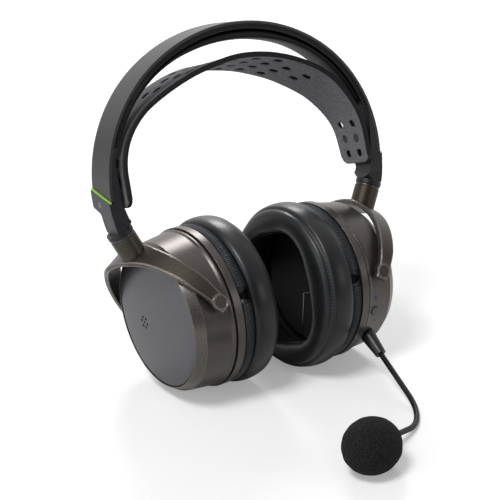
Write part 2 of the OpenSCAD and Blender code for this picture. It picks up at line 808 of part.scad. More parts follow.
module control_holes() {
  radial(led_angle, control_d) cylinder(r = light_r + seat, h = over, $fn = 32);
  radial(button_angle, control_d) cylinder(r = button_r + slip, h = over, $fn = 48);
  radial(pinhole_angle, control_d + 1.9) cylinder(r = 0.5, h = over, $fn = 24);
  radial(socket_angle, socket_d) cylinder(r = socket_r + seat, h = over, $fn = 48);
  radial(jack_angle, 0) cylinder(r = jack_r + 1.4 + seat, h = over, $fn = 48);
  radial(port_angle, 0) translate([0, 0, over / 2])
    cube([port_h + 2 * port_shell_t + 2 * seat, port_w + 2 * port_shell_t + 2 * seat, over], center = true);
  radial(wheel_angle, wheel_d) {
    translate([0, 0, wheel_x]) rotate([0, 90, 0]) {
      cylinder(r = wheel_r + slip, h = wheel_t + 2 * slip, center = true, $fn = 64);
      cylinder(r = axle_r + fit, h = wheel_t + 8, center = true, $fn = 32);
    }
  }
}

module bezel(s) {
  ledge = plate_d - 2;
  color([0.52, 0.50, 0.47]) cup_frame(s) cup_ring([[bezel_r - 4, bezel_d], [bezel_r, bezel_d],
    [plate_r + 0.3, plate_d], [plate_r, plate_d], [plate_r, ledge], [plate_r - 3, ledge], [plate_r - 3, bezel_d]]);
}

// Round cover with a plain cluster of vent holes towards its rear
module outer_plate(s) {
  edge_r = plate_r - seat;
  low = plate_d - 2;
  steps = 5;
  color([0.36, 0.36, 0.37]) cup_frame(s) difference() {
    cup_ring(concat([[0, low], [edge_r, low]],
      [for (k = [steps:-1:0]) [edge_r * k / steps, plate_d + plate_dome * (1 - pow(k / steps, 2))]]));
    for (p = vent_places()) translate([p[0], p[1], plate_d - 0.8]) cylinder(r = vent_r, h = 4, $fn = 24);
  }
}

// Hexagon of seven holes
function vent_places() = concat([[0, vent_y]],
  [for (a = [0:60:300]) [vent_pitch * cos(a), vent_y + vent_pitch * sin(a)]]);

module flange(s) {
  neck = barrel_r - wall + 0.4;
  color([0.34, 0.32, 0.30]) cup_frame(s) difference() {
    cup_ring([[neck - wall, -barrel_d - seat], [neck, -barrel_d - seat], [neck, -flange_d], [flange_r, -flange_d],
      [flange_r, -flange_d - flange_t], [baffle_r + 0.2, -flange_d - flange_t],
      [baffle_r + 0.2, -flange_d - flange_t + wall], [neck - wall, -flange_d]]);
    if (s == left) radial(socket_angle, socket_d) cylinder(r = plug_r + 2 * slip, h = over, $fn = 48);
  }
}

module ribbed_ring(s) {
  notch_w = 15;
  color([0.15, 0.16, 0.17]) cup_frame(s) difference() {
    cup_ring([[baffle_r + 0.3, -ring_d], [flange_r, -ring_d], [flange_r, -ring_d - ring_t],
      [baffle_r + 0.3, -ring_d - ring_t]]);
    radial(10, -ring_d - ring_t / 2)
      translate([0, 0, flange_r]) cube([3.2, notch_w, 3], center = true);
  }
}

module baffle(s) {
  color([0.06, 0.06, 0.07]) cup_frame(s) difference() {
    translate([0, 0, -baffle_d - baffle_t]) cylinder(r = baffle_r, h = baffle_t, $fn = 2 * round_fn);
    translate([0, -driver_fwd, 0]) cylinder(r = driver_r - 1.5, h = over, center = true, $fn = round_fn);
  }
}

module driver(s) {
  color([0.2, 0.2, 0.21]) cup_frame(s) translate([0, -driver_fwd, 0]) {
    translate([0, 0, -baffle_d]) cylinder(r = driver_r, h = 3, $fn = round_fn);
    translate([0, 0, -baffle_d + 3 - tiny]) cylinder(r = driver_r * 0.6, h = 3.5, $fn = round_fn);
  }
}

module driver_grille(s) {
  color([0.12, 0.12, 0.13]) cup_frame(s) translate([0, -driver_fwd, -baffle_d - baffle_t - 0.8]) difference() {
    cylinder(r = driver_r + 1, h = 0.8, $fn = round_fn);
    for (ring = [1, 2], k = [0:ring * 6 - 1]) {
      rotate([0, 0, k * 60 / ring]) translate([ring * driver_r / 3, 0, -tiny])
        cylinder(r = 1.5, h = 2, $fn = 24);
    }
  }
}

module ear_pad(s) {
  seam_d = face_d - 0.24 * pad_t;
  color([0.09, 0.095, 0.105]) resting() cup_frame(s) cup_ring([[ear_r + 1.2, -pad_d], [flange_r + 0.4, -pad_d],
    [pad_r - 0.5, -pad_d - 0.2 * pad_t], [pad_r, -pad_d - 0.45 * pad_t], [pad_r - 0.6, -seam_d + 0.11 * pad_t],
    [seam_r, -seam_d], [seam_r - 0.15 * pad_w, -face_d + 1], [ear_r + 0.48 * pad_w, -face_d],
    [ear_r + 0.19 * pad_w, -face_d + 0.9], [ear_r + 0.6, -face_d + 0.2 * pad_t], [ear_r, -face_d + 0.4 * pad_t]]);
}

// Cell on the bulkhead of the right cup
module battery() {
  cell = [1.8 * driver_r, 1.3 * driver_r, 5.5];
  color([0.16, 0.30, 0.46]) cup_frame(right) translate([-cell[0] / 2, -cell[1] / 2 + 2,
    bezel_d - bulkhead_t - seat - cell[2]]) cube(cell);
}

// Board on three stand-offs on the bulkhead of the left cup
module circuit_board() {
  stand_off = 2.5;
  board_t = 1.6;
  board_r = barrel_r - 20;
  color([0.10, 0.32, 0.20]) cup_frame(left) {
    translate([0, 0, bezel_d - bulkhead_t - seat - stand_off - board_t])
      cylinder(r = board_r, h = board_t, $fn = round_fn);
    for (a = [30:120:270]) rotate([0, 0, a]) {
      translate([board_r - 4, 0, bezel_d - bulkhead_t - seat - stand_off - tiny])
        cylinder(r = 2, h = stand_off, $fn = 32);
    }
  }
}

// ---------- controls on the left cup ----------
module power_button() {
  proud = button_travel - 0.2;
  color([0.13, 0.13, 0.14]) cup_frame(left) radial(button_angle, control_d) {
    translate([0, 0, barrel_r - 4]) cylinder(r = button_r, h = 4 + proud - 0.5, $fn = 48);
  }
}

module status_light() {
  color([0.15, 0.45, 0.95]) cup_frame(left) radial(led_angle, control_d)
    translate([0, 0, barrel_r - 3]) cylinder(r = light_r, h = 2.7, $fn = 32);
}

module volume_wheel() {
  color([0.11, 0.11, 0.12]) cup_frame(left) radial(wheel_angle, wheel_d) translate([0, 0, wheel_x])
    rotate([0, 90, 0]) {
      cylinder(r = wheel_r, h = wheel_t, center = true, $fn = 64);
      cylinder(r = axle_r, h = wheel_t + 3.4, center = true, $fn = 32);
    }
}

module audio_jack() {
  color([0.09, 0.09, 0.10]) cup_frame(left) radial(jack_angle, 0)
    translate([0, 0, barrel_r - 1 - jack_len]) difference() {
      cylinder(r = jack_r + 1.4, h = jack_len, $fn = 48);
      translate([0, 0, -tiny]) cylinder(r = jack_r, h = jack_len + 1, $fn = 48);
    }
}

module charge_port() {
  color([0.60, 0.60, 0.62]) cup_frame(left) radial(port_angle, 0)
    translate([0, 0, barrel_r - 1.6 - port_len / 2]) difference() {
      cube([port_h + 2 * port_shell_t, port_w + 2 * port_shell_t, port_len], center = true);
      translate([0, 0, 1]) cube([port_h, port_w, port_len], center = true);
    }
}

// ---------- boom microphone ----------
module mic_socket() {
  color([0.10, 0.10, 0.11]) cup_frame(left) radial(socket_angle, socket_d)
    translate([0, 0, barrel_r - 0.8 - socket_len]) difference() {
      cylinder(r = socket_r, h = socket_len, $fn = 48);
      translate([0, 0, -tiny]) cylinder(r = contact_r + fit, h = socket_len + 1, $fn = 48);
    }
}

module mic_plug() {
  base = barrel_r + slip;
  color([0.08, 0.08, 0.09]) cup_frame(left) radial(socket_angle, socket_d) {
    translate([0, 0, base]) cylinder(r1 = plug_r, r2 = plug_tip_r, h = plug_len - slip - seat, $fn = 48);
    translate([0, 0, base - socket_len + 1]) cylinder(r = contact_r, h = socket_len, $fn = 48);
  }
}

// Straight, bent and straight lengths from the plug to the capsule
module gooseneck() {
  u = unit(neck_start - neck_corner);
  v = unit(neck_end - neck_corner);
  half_angle = acos(u * v) / 2;
  cut = neck_bend_r / tan(half_angle);
  axis = unit(cross(u, v));
  out = unit(u + v);
  centre = neck_corner + out * neck_bend_r / sin(half_angle);
  side = cross(axis, out);
  color([0.06, 0.06, 0.06]) cup_frame(left) {
    bar(neck_start, neck_corner + u * cut, neck_r);
    bar(neck_corner + v * cut, neck_end, neck_r);
    multmatrix([[-out[0], -side[0], axis[0], centre[0]], [-out[1], -side[1], axis[1], centre[1]],
      [-out[2], -side[2], axis[2], centre[2]], [0, 0, 0, 1]])
      rotate([0, 0, half_angle - 90]) rotate_extrude(angle = 180 - 2 * half_angle, $fn = 2 * round_fn)
        translate([neck_bend_r, 0]) circle(r = neck_r, $fn = 48);
    for (p = [neck_corner + u * cut, neck_corner + v * cut]) translate(p) sphere(r = neck_r + tiny, $fn = 48);
  }
}

// +Z along the end of the gooseneck, the origin in the middle of the windscreen
module mic_frame() {
  d = neck_end - mic_point;
  cup_frame(left) translate(mic_point) rotate([0, acos(d[2] / norm(d)), atan2(d[1], d[0])]) children();
}

module mic_capsule() {
  color([0.5, 0.5, 0.52]) mic_frame() cylinder(r = capsule_r, h = capsule_len, center = true, $fn = 48);
}

module windscreen() {
  long = foam_r - foam_waist_r;
  color([0.07, 0.07, 0.07]) resting() mic_frame() difference() {
    union() {
      for (z = [-1, 1]) translate([0, 0, z * long]) sphere(r = foam_waist_r, $fn = round_fn);
      cylinder(r = foam_waist_r, h = 2 * long, center = true, $fn = round_fn);
    }
    cylinder(r = capsule_r + slip, h = capsule_len + 2 * slip, center = true, $fn = 48);
    cylinder(r = neck_r + slip, h = over, $fn = 48);
  }
}

band_spring();
band_channel();
band_roll();
suspension_strap();
cap_screws();
end_cap(right);  // end_cap_right
end_cap(left);  // end_cap_left
cap_plate(right);  // cap_plate_right
cap_plate(left);  // cap_plate_left
accent_stripe(right);  // accent_stripe_right
accent_stripe(left);  // accent_stripe_left
strap_posts(right);  // strap_posts_right
strap_posts(left);  // strap_posts_left
slider(right);  // slider_right
slider(left);  // slider_left
swivel_screw(right);  // swivel_screw_right
swivel_screw(left);  // swivel_screw_left
collar(right);  // collar_right
collar(left);  // collar_left
yoke(right);  // yoke_right
yoke(left);  // yoke_left
pivot_pins(right);  // pivot_pins_right
pivot_pins(left);  // pivot_pins_left
barrel(right);  // barrel_right
barrel(left);  // barrel_left
bezel(right);  // bezel_right
bezel(left);  // bezel_left
outer_plate(right);  // outer_plate_right
outer_plate(left);  // outer_plate_left
flange(right);  // flange_right
flange(left);  // flange_left
ribbed_ring(right);  // ribbed_ring_right
ribbed_ring(left);  // ribbed_ring_left
baffle(right);  // baffle_right
baffle(left);  // baffle_left
driver(right);  // driver_right
driver(left);  // driver_left
driver_grille(right);  // driver_grille_right
driver_grille(left);  // driver_grille_left
ear_pad(right);  // ear_pad_right
ear_pad(left);  // ear_pad_left
battery();
circuit_board();
power_button();
status_light();
volume_wheel();
audio_jack();
charge_port();
mic_socket();
mic_plug();
gooseneck();
mic_capsule();
windscreen();
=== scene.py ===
# %% [markdown]
# # A wireless headset with a boom microphone
# The solid model already gives every hard piece its true size and place. This lesson dresses it:
# it opens the solid model, paints its metal and plastic, and models the soft pieces that a solid
# can't show, such as the ear pads, the soft roll of the headband, the strap and the windscreen.

# %% Open the solid model
from math import atan2, cos, exp, pi, radians, sin, sqrt
import bpy
import bmesh
from mathutils import Matrix, Vector, noise


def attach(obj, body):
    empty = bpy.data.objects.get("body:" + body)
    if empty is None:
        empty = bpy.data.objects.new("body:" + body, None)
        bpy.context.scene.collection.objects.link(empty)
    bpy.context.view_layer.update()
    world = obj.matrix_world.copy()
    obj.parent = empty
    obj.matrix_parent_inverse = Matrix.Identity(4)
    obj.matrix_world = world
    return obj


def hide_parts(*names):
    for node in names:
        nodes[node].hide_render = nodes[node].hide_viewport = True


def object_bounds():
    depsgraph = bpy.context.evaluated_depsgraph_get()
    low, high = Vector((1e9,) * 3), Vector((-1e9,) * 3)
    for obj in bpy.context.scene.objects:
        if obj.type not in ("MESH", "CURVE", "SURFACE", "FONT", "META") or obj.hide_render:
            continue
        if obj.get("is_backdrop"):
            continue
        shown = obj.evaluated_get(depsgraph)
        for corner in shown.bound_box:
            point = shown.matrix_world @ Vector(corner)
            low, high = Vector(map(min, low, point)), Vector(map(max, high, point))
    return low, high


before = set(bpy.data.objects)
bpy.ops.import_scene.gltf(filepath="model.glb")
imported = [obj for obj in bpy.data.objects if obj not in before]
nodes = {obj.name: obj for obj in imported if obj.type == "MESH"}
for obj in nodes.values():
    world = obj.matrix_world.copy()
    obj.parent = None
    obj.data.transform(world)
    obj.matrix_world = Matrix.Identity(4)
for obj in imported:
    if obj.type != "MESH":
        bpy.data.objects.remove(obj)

solid_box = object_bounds()

# %% [markdown]
# ## Places
# The headset is easiest to think of upright, in millimetres, with the middle of the head at X = 0,
# the wearer's left at +X and the front at -Y. It then leans back on its two ear cups. One matrix
# holds that lean and the change to metres, and the others stack on it: down the swivel of a cup,
# out to the pivot axis, and into the cup. A piece is made in the simplest of these places and moved
# by the matrix once, so its object can stay at the origin.

# %% Matrices of the headset's places
LEFT, RIGHT = 1, -1
SIDES = {"left": LEFT, "right": RIGHT}


def turn(degrees, axis):
    return Matrix.Rotation(radians(degrees), 4, axis)


def shift(x, y, z):
    return Matrix.Translation((x, y, z))


STAND = Matrix.Scale(0.001, 4) @ shift(-1.1, 50.4, 56.58) @ turn(1.2, "Y") @ turn(-13.55, "X")
STEM = (82.5, -4.5, 42)
SWIVEL = {LEFT: 7.5, RIGHT: -4.2}
TILT = {LEFT: 2, RIGHT: 3.6}


def side_place(side):
    return STAND @ Matrix.Diagonal((side, 1, 1, 1))


def pivot_place(side):
    stem = shift(*STEM) @ turn(25.5, "Y")
    swivelled = side_place(side) @ stem @ turn(SWIVEL[side], "Z") @ stem.inverted()
    return swivelled @ shift(51.7, 0, -9.5) @ turn(-12, "X")


def cup_place(side):
    """+Z out of the cup's outer face, +X down, +Y rearwards."""
    return pivot_place(side) @ turn(TILT[side], "Y") @ turn(90, "Y")


def strap_place():
    return STAND @ shift(0, 0, 71) @ turn(-6, "X") @ shift(0, 0, -71)


print("left cup's centre", [round(x, 3) for x in cup_place(LEFT).translation])

# %% [markdown]
# ## Maths with sockets
# A finish needs sums such as grain times strength. Each would be a Math node with two links, which
# is slow to write and hard to read. So one small class wraps a socket and lets Python's own signs
# add the nodes. Any other node comes from one method that takes its type, settings and inputs.

# %% A socket that can be used in sums, and a material to put nodes in
class Level:
    """A socket's value, which adds a Math node wherever it is used in a sum."""

    def __init__(self, finish, socket):
        self.finish, self.socket = finish, socket

    def maths(self, operation, *values):
        return self.finish.node("ShaderNodeMath", {"operation": operation}, dict(enumerate(values)))

    def __add__(self, other):
        return self.maths("ADD", self, other)

    def __mul__(self, other):
        return self.maths("MULTIPLY", self, other)

    def __sub__(self, other):
        return self.maths("SUBTRACT", self, other)

    def __rsub__(self, other):
        return self.maths("SUBTRACT", other, self)

    def __truediv__(self, other):
        return self.maths("DIVIDE", self, other)

    def __pow__(self, other):
        return self.maths("POWER", self, other)

    __radd__, __rmul__ = __add__, __mul__

    def clipped(self):
        return self.maths("MINIMUM", self.maths("MAXIMUM", self, 0.0), 1.0)

    def wave(self):
        return self.maths("SINE", self)


class Finish:
    """A material with one Principled shader, and the nodes that vary it."""

    def __init__(self, name):
        self.material = bpy.data.materials.new(name)
        self.material.use_nodes = True
        self.tree = self.material.node_tree
        self.shader = next(n for n in self.tree.nodes if n.type == "BSDF_PRINCIPLED")

    def feed(self, socket, value):
        if isinstance(value, Level):
            self.tree.links.new(value.socket, socket)
        else:
            socket.default_value = value

    def node(self, kind, settings=None, inputs=None, output=0):
        made = self.tree.nodes.new(kind)
        for name, value in (settings or {}).items():
            if name == "stops":
                for number, (place, colour) in enumerate(value):
                    ramp = made.color_ramp.elements
                    stop = ramp[number] if number < 2 else ramp.new(place)
                    stop.position, stop.color = place, colour
            else:
                setattr(made, name, value)
        for name, value in (inputs or {}).items():
            self.feed(made.inputs[name], value)
        return Level(self, made.outputs[output])

    def place(self):
        return self.node("ShaderNodeTexCoord", output="Object")

    def grain(self, size_mm, detail=2.0, rough=0.5, output=0):
        """Noise whose blotches are about this wide."""
        return self.node("ShaderNodeTexNoise", None, {"Vector": self.place(), "Scale": 1000 / size_mm,
                         "Detail": detail, "Roughness": rough}, output)

    def mixed(self, factor, a, b):
        return self.node("ShaderNodeMix", {"data_type": "RGBA"}, {0: factor, 6: a, 7: b}, 2)

    def bump(self, height, millimetres, normal=None):
        inputs = {"Height": height, "Distance": millimetres / 1000, "Strength": 1.0}
        if normal is not None:
            inputs["Normal"] = normal
        return self.node("ShaderNodeBump", None, inputs)

    def set(self, **values):
        for name, value in values.items():
            self.feed(self.shader.inputs[name.replace("_", " ")], value)
        return self


def paint(code, times=1.0):
    """A colour written as on a web page, as the linear colour that shaders use."""
    parts = [int(code[i:i + 2], 16) / 255 for i in (1, 3, 5)]
    linear = [p / 12.92 if p < 0.04045 else ((p + 0.055) / 1.055) ** 2.4 for p in parts]
    return tuple(min(1, times * p) for p in linear) + (1,)


print("a middle grey is", round(paint("#808080")[0], 3), "in a shader")

# %% [markdown]
# ## Hard finishes
# Most of the headset is lacquered metal: a fine grain that breaks up the highlights, a colour that
# drifts a little over a hand's width, and edges painted lighter, a painted highlight where the rounded
# edges catch the light. The Bevel node rounds the edges of the solids for the light, and where it differs
# from the surface's own direction there is an edge, so one node gives both the soft edge and the painted
# highlight along it.

# %% Soft edges and the painted highlight along them
# The second value marks the edges, where a lighter colour is painted as a highlight.
def soft_edge_and_highlight(finish, radius_mm, gain=5.0):
    rounded = finish.node("ShaderNodeBevel", {"samples": 4}, {"Radius": radius_mm / 1000})
    flat = finish.node("ShaderNodeNewGeometry", output="Normal")
    along = finish.node("ShaderNodeVectorMath", {"operation": "DOT_PRODUCT"}, {0: rounded, 1: flat}, "Value")
    return rounded, ((1.0 - along) * gain).clipped()


def lacquered(name, colour, edge_highlight_colour, metallic=0.75, rough=0.36, grain_mm=0.35, grain_deep=0.02,
              edge_mm=0.35, drift=0.1, edge_highlight_show=0.7, edge_highlight_gain=5.0):
    finish = Finish(name)
    normal, edge = soft_edge_and_highlight(finish, edge_mm, edge_highlight_gain)
    fine, wide = finish.grain(grain_mm), finish.grain(38, 3.0)
    body = finish.mixed(wide, paint(colour, 1 - drift), paint(colour, 1 + drift))
    # Specks of grain take a dimmer share of the lighter edge colour.
    speck = finish.mixed((fine * 2.2 - 0.8).clipped() * 0.35, body, paint(edge_highlight_colour, 0.8))
    # edge is the mask of the painted highlight: edges get the lighter colour where they would catch the
    # light.
    finish.set(Base_Color=finish.mixed(edge * edge_highlight_show, speck, paint(edge_highlight_colour)), Metallic=metallic,
               Roughness=(rough - 0.07) + fine * 0.09 + wide * 0.05,
               Normal=finish.bump(fine, grain_deep, normal))
    return finish.material


finishes = {
    "band_metal": lacquered("band_metal", "#353433", "#77797a", metallic=0.65, rough=0.38, grain_mm=0.5),
    "bronze_metal": lacquered("bronze_metal", "#3a342d", "#8c857b", metallic=0.78, rough=0.34),
    # The yoke's wide lighter edge is a painted highlight along its chamfer.
    "yoke_metal": lacquered("yoke_metal", "#3d372f", "#918b88", metallic=0.75, rough=0.33, edge_mm=1.7,
                            edge_highlight_show=0.9, edge_highlight_gain=18.0),
    "shell_metal": lacquered("shell_metal", "#504a48", "#98938f", metallic=0.75, rough=0.33),
    "bezel_metal": lacquered("bezel_metal", "#5a544f", "#aba59f", metallic=0.8, rough=0.28),
    "cover_metal": lacquered("cover_metal", "#59585b", "#7d7d81", metallic=0.72, rough=0.36, grain_mm=0.3,
                             drift=0.06),
    "plate_metal": lacquered("plate_metal", "#2c2e34", "#656871", metallic=0.5, rough=0.38),
    "slider_metal": lacquered("slider_metal", "#4d4a47", "#989390", metallic=0.9, rough=0.3),
    "steel": lacquered("steel", "#7c7c7e", "#c0c0c2", metallic=1.0, rough=0.3, edge_mm=0.12),
    "pin_metal": lacquered("pin_metal", "#37322c", "#7e786f", metallic=0.8, rough=0.4, edge_mm=0.2),
}
print(len(finishes), "metal finishes")

# %% [markdown]
# ## Moulded plastic
# Moulded plastic isn't metallic: it has a spark-eroded texture of rounded dimples about a third of
# a millimetre wide, and its edges are painted only a little lighter, a painted highlight where they catch the
# light.

# %% Plastics and rubbers
def moulded(name, colour, edge_highlight_colour, rough=0.5, dimple_mm=0.45, deep=0.03, edge_mm=0.3, edge_highlight_show=0.5,
            shine=0.3):
    finish = Finish(name)
    normal, edge = soft_edge_and_highlight(finish, edge_mm)
    dimples = finish.node("ShaderNodeTexVoronoi", {"feature": "SMOOTH_F1"},
                          {"Vector": finish.place(), "Scale": 1000 / dimple_mm}, "Distance")
    wide = finish.grain(22, 4.0)
    body = finish.mixed(wide, paint(colour, 0.85), paint(colour, 1.15))
    # edge is the mask of the painted highlight: edges get the lighter colour where they would catch the
    # light.
    finish.set(Base_Color=finish.mixed(edge * edge_highlight_show, body, paint(edge_highlight_colour)),
               Roughness=rough - edge * 0.12 + wide * 0.08, Normal=finish.bump(dimples, deep, normal))
    finish.set(Specular_IOR_Level=shine)
    return finish.material


finishes.update({
    "charcoal_plastic": moulded("charcoal_plastic", "#15161a", "#3c3f45", rough=0.36, shine=0.4),
    "black_plastic": moulded("black_plastic", "#0d0e0f", "#2b2d30", rough=0.36),
    "post_plastic": moulded("post_plastic", "#141516", "#36383c", rough=0.4, edge_mm=0.2),
    "ring_plastic": moulded("ring_plastic", "#15171a", "#565a60", rough=0.4, shine=0.4, edge_mm=0.22,
                            edge_highlight_show=0.9),
    # The ribs are the ring's own plastic painted lighter, a painted highlight on their crests.
    "lit_rib_plastic": moulded("lit_rib_plastic", "#3b3f44", "#63676d", rough=0.4, shine=0.4, edge_mm=0.2, edge_highlight_show=0.9),
    # A matte near-black that paints shade: on the ring's core where it shows in gaps, in the vents and in the
    # gap round the cover.
    "shade_black": moulded("shade_black", "#08090a", "#17181a", rough=0.6, shine=0.15),
    "gloss_plastic": moulded("gloss_plastic", "#0a0a0b", "#2b2c2f", rough=0.2, deep=0.008),
    "neck_rubber": moulded("neck_rubber", "#0a0a0b", "#222325", rough=0.4, dimple_mm=0.3),
    "plug_plastic": moulded("plug_plastic", "#0e0e0f", "#333437", rough=0.32, deep=0.015, shine=0.45),
    "grille_plastic": moulded("grille_plastic", "#0c0c0d", "#242528", rough=0.55),
})
print(len(finishes), "finishes so far")

# %% [markdown]
# ## Soft finishes
# The pads and the roll are covered in thin artificial leather: small pebbles pressed into it, a dull
# shine, and creases too fine to model. The strap is a coarse elastic with lighter flecks. The
# windscreen is open foam, where every pore is painted darker, a painted shade in its pit, between thin
# lighter walls.

# %% Leather, strap, foam and cloth
def leather(name, colour, light, rough, pebble_mm, shine=0.35, coat=0.3):
    finish = Finish(name)
    pebbles = finish.node("ShaderNodeTexVoronoi", {"feature": "SMOOTH_F1"},
                          {"Vector": finish.place(), "Scale": 1000 / pebble_mm}, "Distance")
    fine, wide = finish.grain(0.5, 3.0), finish.grain(26, 3.0)
    finish.set(Base_Color=finish.mixed((wide * 0.7 + pebbles * 0.5).clipped(), paint(colour), paint(light)),
               Roughness=rough + wide * 0.1 + fine * 0.06,
               Normal=finish.bump(pebbles * 0.7 + fine * 0.3, 0.06))
    finish.set(Coat_Weight=coat, Coat_Roughness=0.24, Coat_IOR=1.4, Specular_IOR_Level=shine)
    return finish.material


def elastic(name):
    finish = Finish(name)
    flecks, dots = finish.grain(0.7, 2.0), finish.grain(0.32, 1.0)
    light = finish.mixed((flecks * 4 - 1.7).clipped(), paint("#4d4e52"), paint("#737479"))
    finish.set(Base_Color=finish.mixed((dots * 5 - 2.7).clipped() * 0.5, light, paint("#9a9ba0")),
               Roughness=0.62 + flecks * 0.2, Normal=finish.bump(flecks + dots * 0.5, 0.07))
    return finish.material


def open_foam(name):
    finish = Finish(name)
    pores = finish.node("ShaderNodeTexVoronoi", {"feature": "F1"},
                        {"Vector": finish.place(), "Scale": 1000 / 0.9}, "Distance")
    lumps = finish.grain(1.6, 3.0)
    wall_out_of_pit_shade = (pores * 1.6 - 0.35).clipped()
    # Pore centres get the darker colour, a painted shade in the pits; the walls are lighter.
    finish.set(Base_Color=finish.mixed(wall_out_of_pit_shade, paint("#050505"), paint("#242425")), Roughness=0.93,
               Normal=finish.bump(lumps * 0.6 - wall_out_of_pit_shade * 0.5, 0.35))
    finish.set(Specular_IOR_Level=0.25)
    return finish.material


def woven(name, colour, light, thread_mm):
    finish = Finish(name)
    split = finish.place()
    y = finish.node("ShaderNodeSeparateXYZ", None, {0: split}, "Y")
    z = finish.node("ShaderNodeSeparateXYZ", None, {0: split}, "Z")
    waves = (y * (2000 * pi / thread_mm)).wave() * (z * (2000 * pi / thread_mm)).wave()
    finish.set(Base_Color=finish.mixed((waves * 0.5 + 0.5).clipped(), paint(colour), paint(light)),
               Roughness=0.88 + finish.grain(3) * 0.08, Normal=finish.bump(waves, 0.05))
    return finish.material


finishes.update({
    "pad_leather": leather("pad_leather", "#08090b", "#15171a", 0.36, 0.9),
    "roll_leather": leather("roll_leather", "#070708", "#111213", 0.46, 0.7, shine=0.25, coat=0.08),
    "strap_elastic": elastic("strap_elastic"),
    "strap_edge": moulded("strap_edge", "#0e0f10", "#2a2b2d", rough=0.55),
    "windscreen_foam": open_foam("windscreen_foam"),
    "baffle_cloth": woven("baffle_cloth", "#020202", "#0a0a0b", 0.85),
    "thread": leather("thread", "#5c5f64", "#84878c", 0.4, 0.4),
    "dark_thread": leather("dark_thread", "#3a3d41", "#54575c", 0.4, 0.4),
})
print(sorted(finishes))

# %% [markdown]
# ## Small finishes
# What is left is the green line, the light, the port, and the pieces inside the cups. Nobody sees
# the inner ones until the model is taken apart, but they get their own finish all the same.

# %% Green line, light and inner pieces
def plain_part(name, colour, other, rough, metallic=0.0, size_mm=2.0, deep=0.02):
    finish = Finish(name)
    blotch, fine = finish.grain(size_mm, 3.0), finish.grain(size_mm / 5, 2.0)
    finish.set(Base_Color=finish.mixed(blotch, paint(colour), paint(other)), Metallic=metallic,
               Roughness=rough + fine * 0.1, Normal=finish.bump(fine, deep))
    return finish.material


def glowing(name, colour, strength):
    finish = Finish(name)
    haze = finish.grain(0.6, 2.0)
    finish.set(Base_Color=paint(colour), Roughness=0.25 + haze * 0.1,
               Emission_Color=finish.mixed(haze, paint(colour, 0.8), paint(colour)),
               Emission_Strength=strength)
    return finish.material


finishes.update({
    "green_paint": plain_part("green_paint", "#86c13a", "#98d04c", 0.35),
    "blue_light": glowing("blue_light", "#1d3470", 0.06),
    "cell_wrap": plain_part("cell_wrap", "#294a70", "#31567f", 0.3, size_mm=6),
    "green_board": plain_part("green_board", "#1b5a38", "#2a7048", 0.4, size_mm=1.5),
    "driver_metal": plain_part("driver_metal", "#55565a", "#6a6b70", 0.35, metallic=0.8),
    "capsule_metal": plain_part("capsule_metal", "#8a8a8e", "#a2a2a6", 0.3, metallic=0.9, size_mm=0.8),
    "port_metal": plain_part("port_metal", "#909196", "#a8a9ad", 0.3, metallic=1.0),
})
worn_by = {
    "band_metal": ["band_spring"], "black_plastic": ["band_channel", "audio_jack"],
    "plate_metal": ["cap_plate_left", "cap_plate_right"],
    "green_paint": ["accent_stripe_left", "accent_stripe_right"],
    "steel": ["cap_screws", "swivel_screw_left", "swivel_screw_right"],
    "charcoal_plastic": ["end_cap_left", "end_cap_right"],
    "post_plastic": ["strap_posts_left", "strap_posts_right"],
    "slider_metal": ["slider_left", "slider_right"],
    "bronze_metal": ["collar_left", "collar_right"], "yoke_metal": ["yoke_left", "yoke_right"],
    "pin_metal": ["pivot_pins_left", "pivot_pins_right"],
    "shell_metal": ["barrel_left", "barrel_right", "flange_left", "flange_right", "power_button"],
    "bezel_metal": ["bezel_left", "bezel_right"], "cover_metal": ["outer_plate_left", "outer_plate_right"],
    "ring_plastic": ["ribbed_ring_left", "ribbed_ring_right"],
    "baffle_cloth": ["baffle_left", "baffle_right"],
    "driver_metal": ["driver_left", "driver_right"],
    "grille_plastic": ["driver_grille_left", "driver_grille_right"],
    "cell_wrap": ["battery"], "green_board": ["circuit_board"],
    "blue_light": ["status_light"], "gloss_plastic": ["volume_wheel", "mic_socket"],
    "port_metal": ["charge_port"],
    "plug_plastic": ["mic_plug"], "neck_rubber": ["gooseneck"], "capsule_metal": ["mic_capsule"],
}
for finish_name, wearers in worn_by.items():
    for wearer in wearers:
        nodes[wearer].data.materials.clear()
        nodes[wearer].data.materials.append(finishes[finish_name])
print(sum(map(len, worn_by.values())), "nodes are finished")

# %% [markdown]
# ## Making a piece
# Every modelled piece is finished in the same way: it is moved to its place, its doubled points are
# merged, its faces are turned outwards, which a mirrored place needs, it is hung on the body that
# carries it, and the plain solids it stands for are hidden. Hard pieces also get a small bevel, because no
# moulded edge is sharp, and normals weighted to the large faces, so that these stay flat.

# %% From a bmesh to a finished piece
def make_piece(name, bm, place, body, finish_name, stands_for=(), edge_mm=0.0):
    bm.transform(place)
    bmesh.ops.remove_doubles(bm, verts=bm.verts, dist=2e-6)
    bmesh.ops.recalc_face_normals(bm, faces=bm.faces)
    for face in bm.faces:
        face.smooth = True
    mesh = bpy.data.meshes.new(name)
    bm.to_mesh(mesh)
    bm.free()
    piece = bpy.data.objects.new(name, mesh)
    bpy.context.scene.collection.objects.link(piece)
    mesh.materials.append(finishes[finish_name])
    if edge_mm:
        bevel = piece.modifiers.new("Edge", "BEVEL")
        bevel.width, bevel.segments = edge_mm / 1000, 2
        bevel.limit_method, bevel.angle_limit = "ANGLE", radians(32)
        piece.modifiers.new("Flat faces", "WEIGHTED_NORMAL").keep_sharp = False
    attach(piece, body)
    if stands_for:
        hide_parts(*stands_for)
    print(name, len(mesh.polygons), "faces on", body)
    return piece


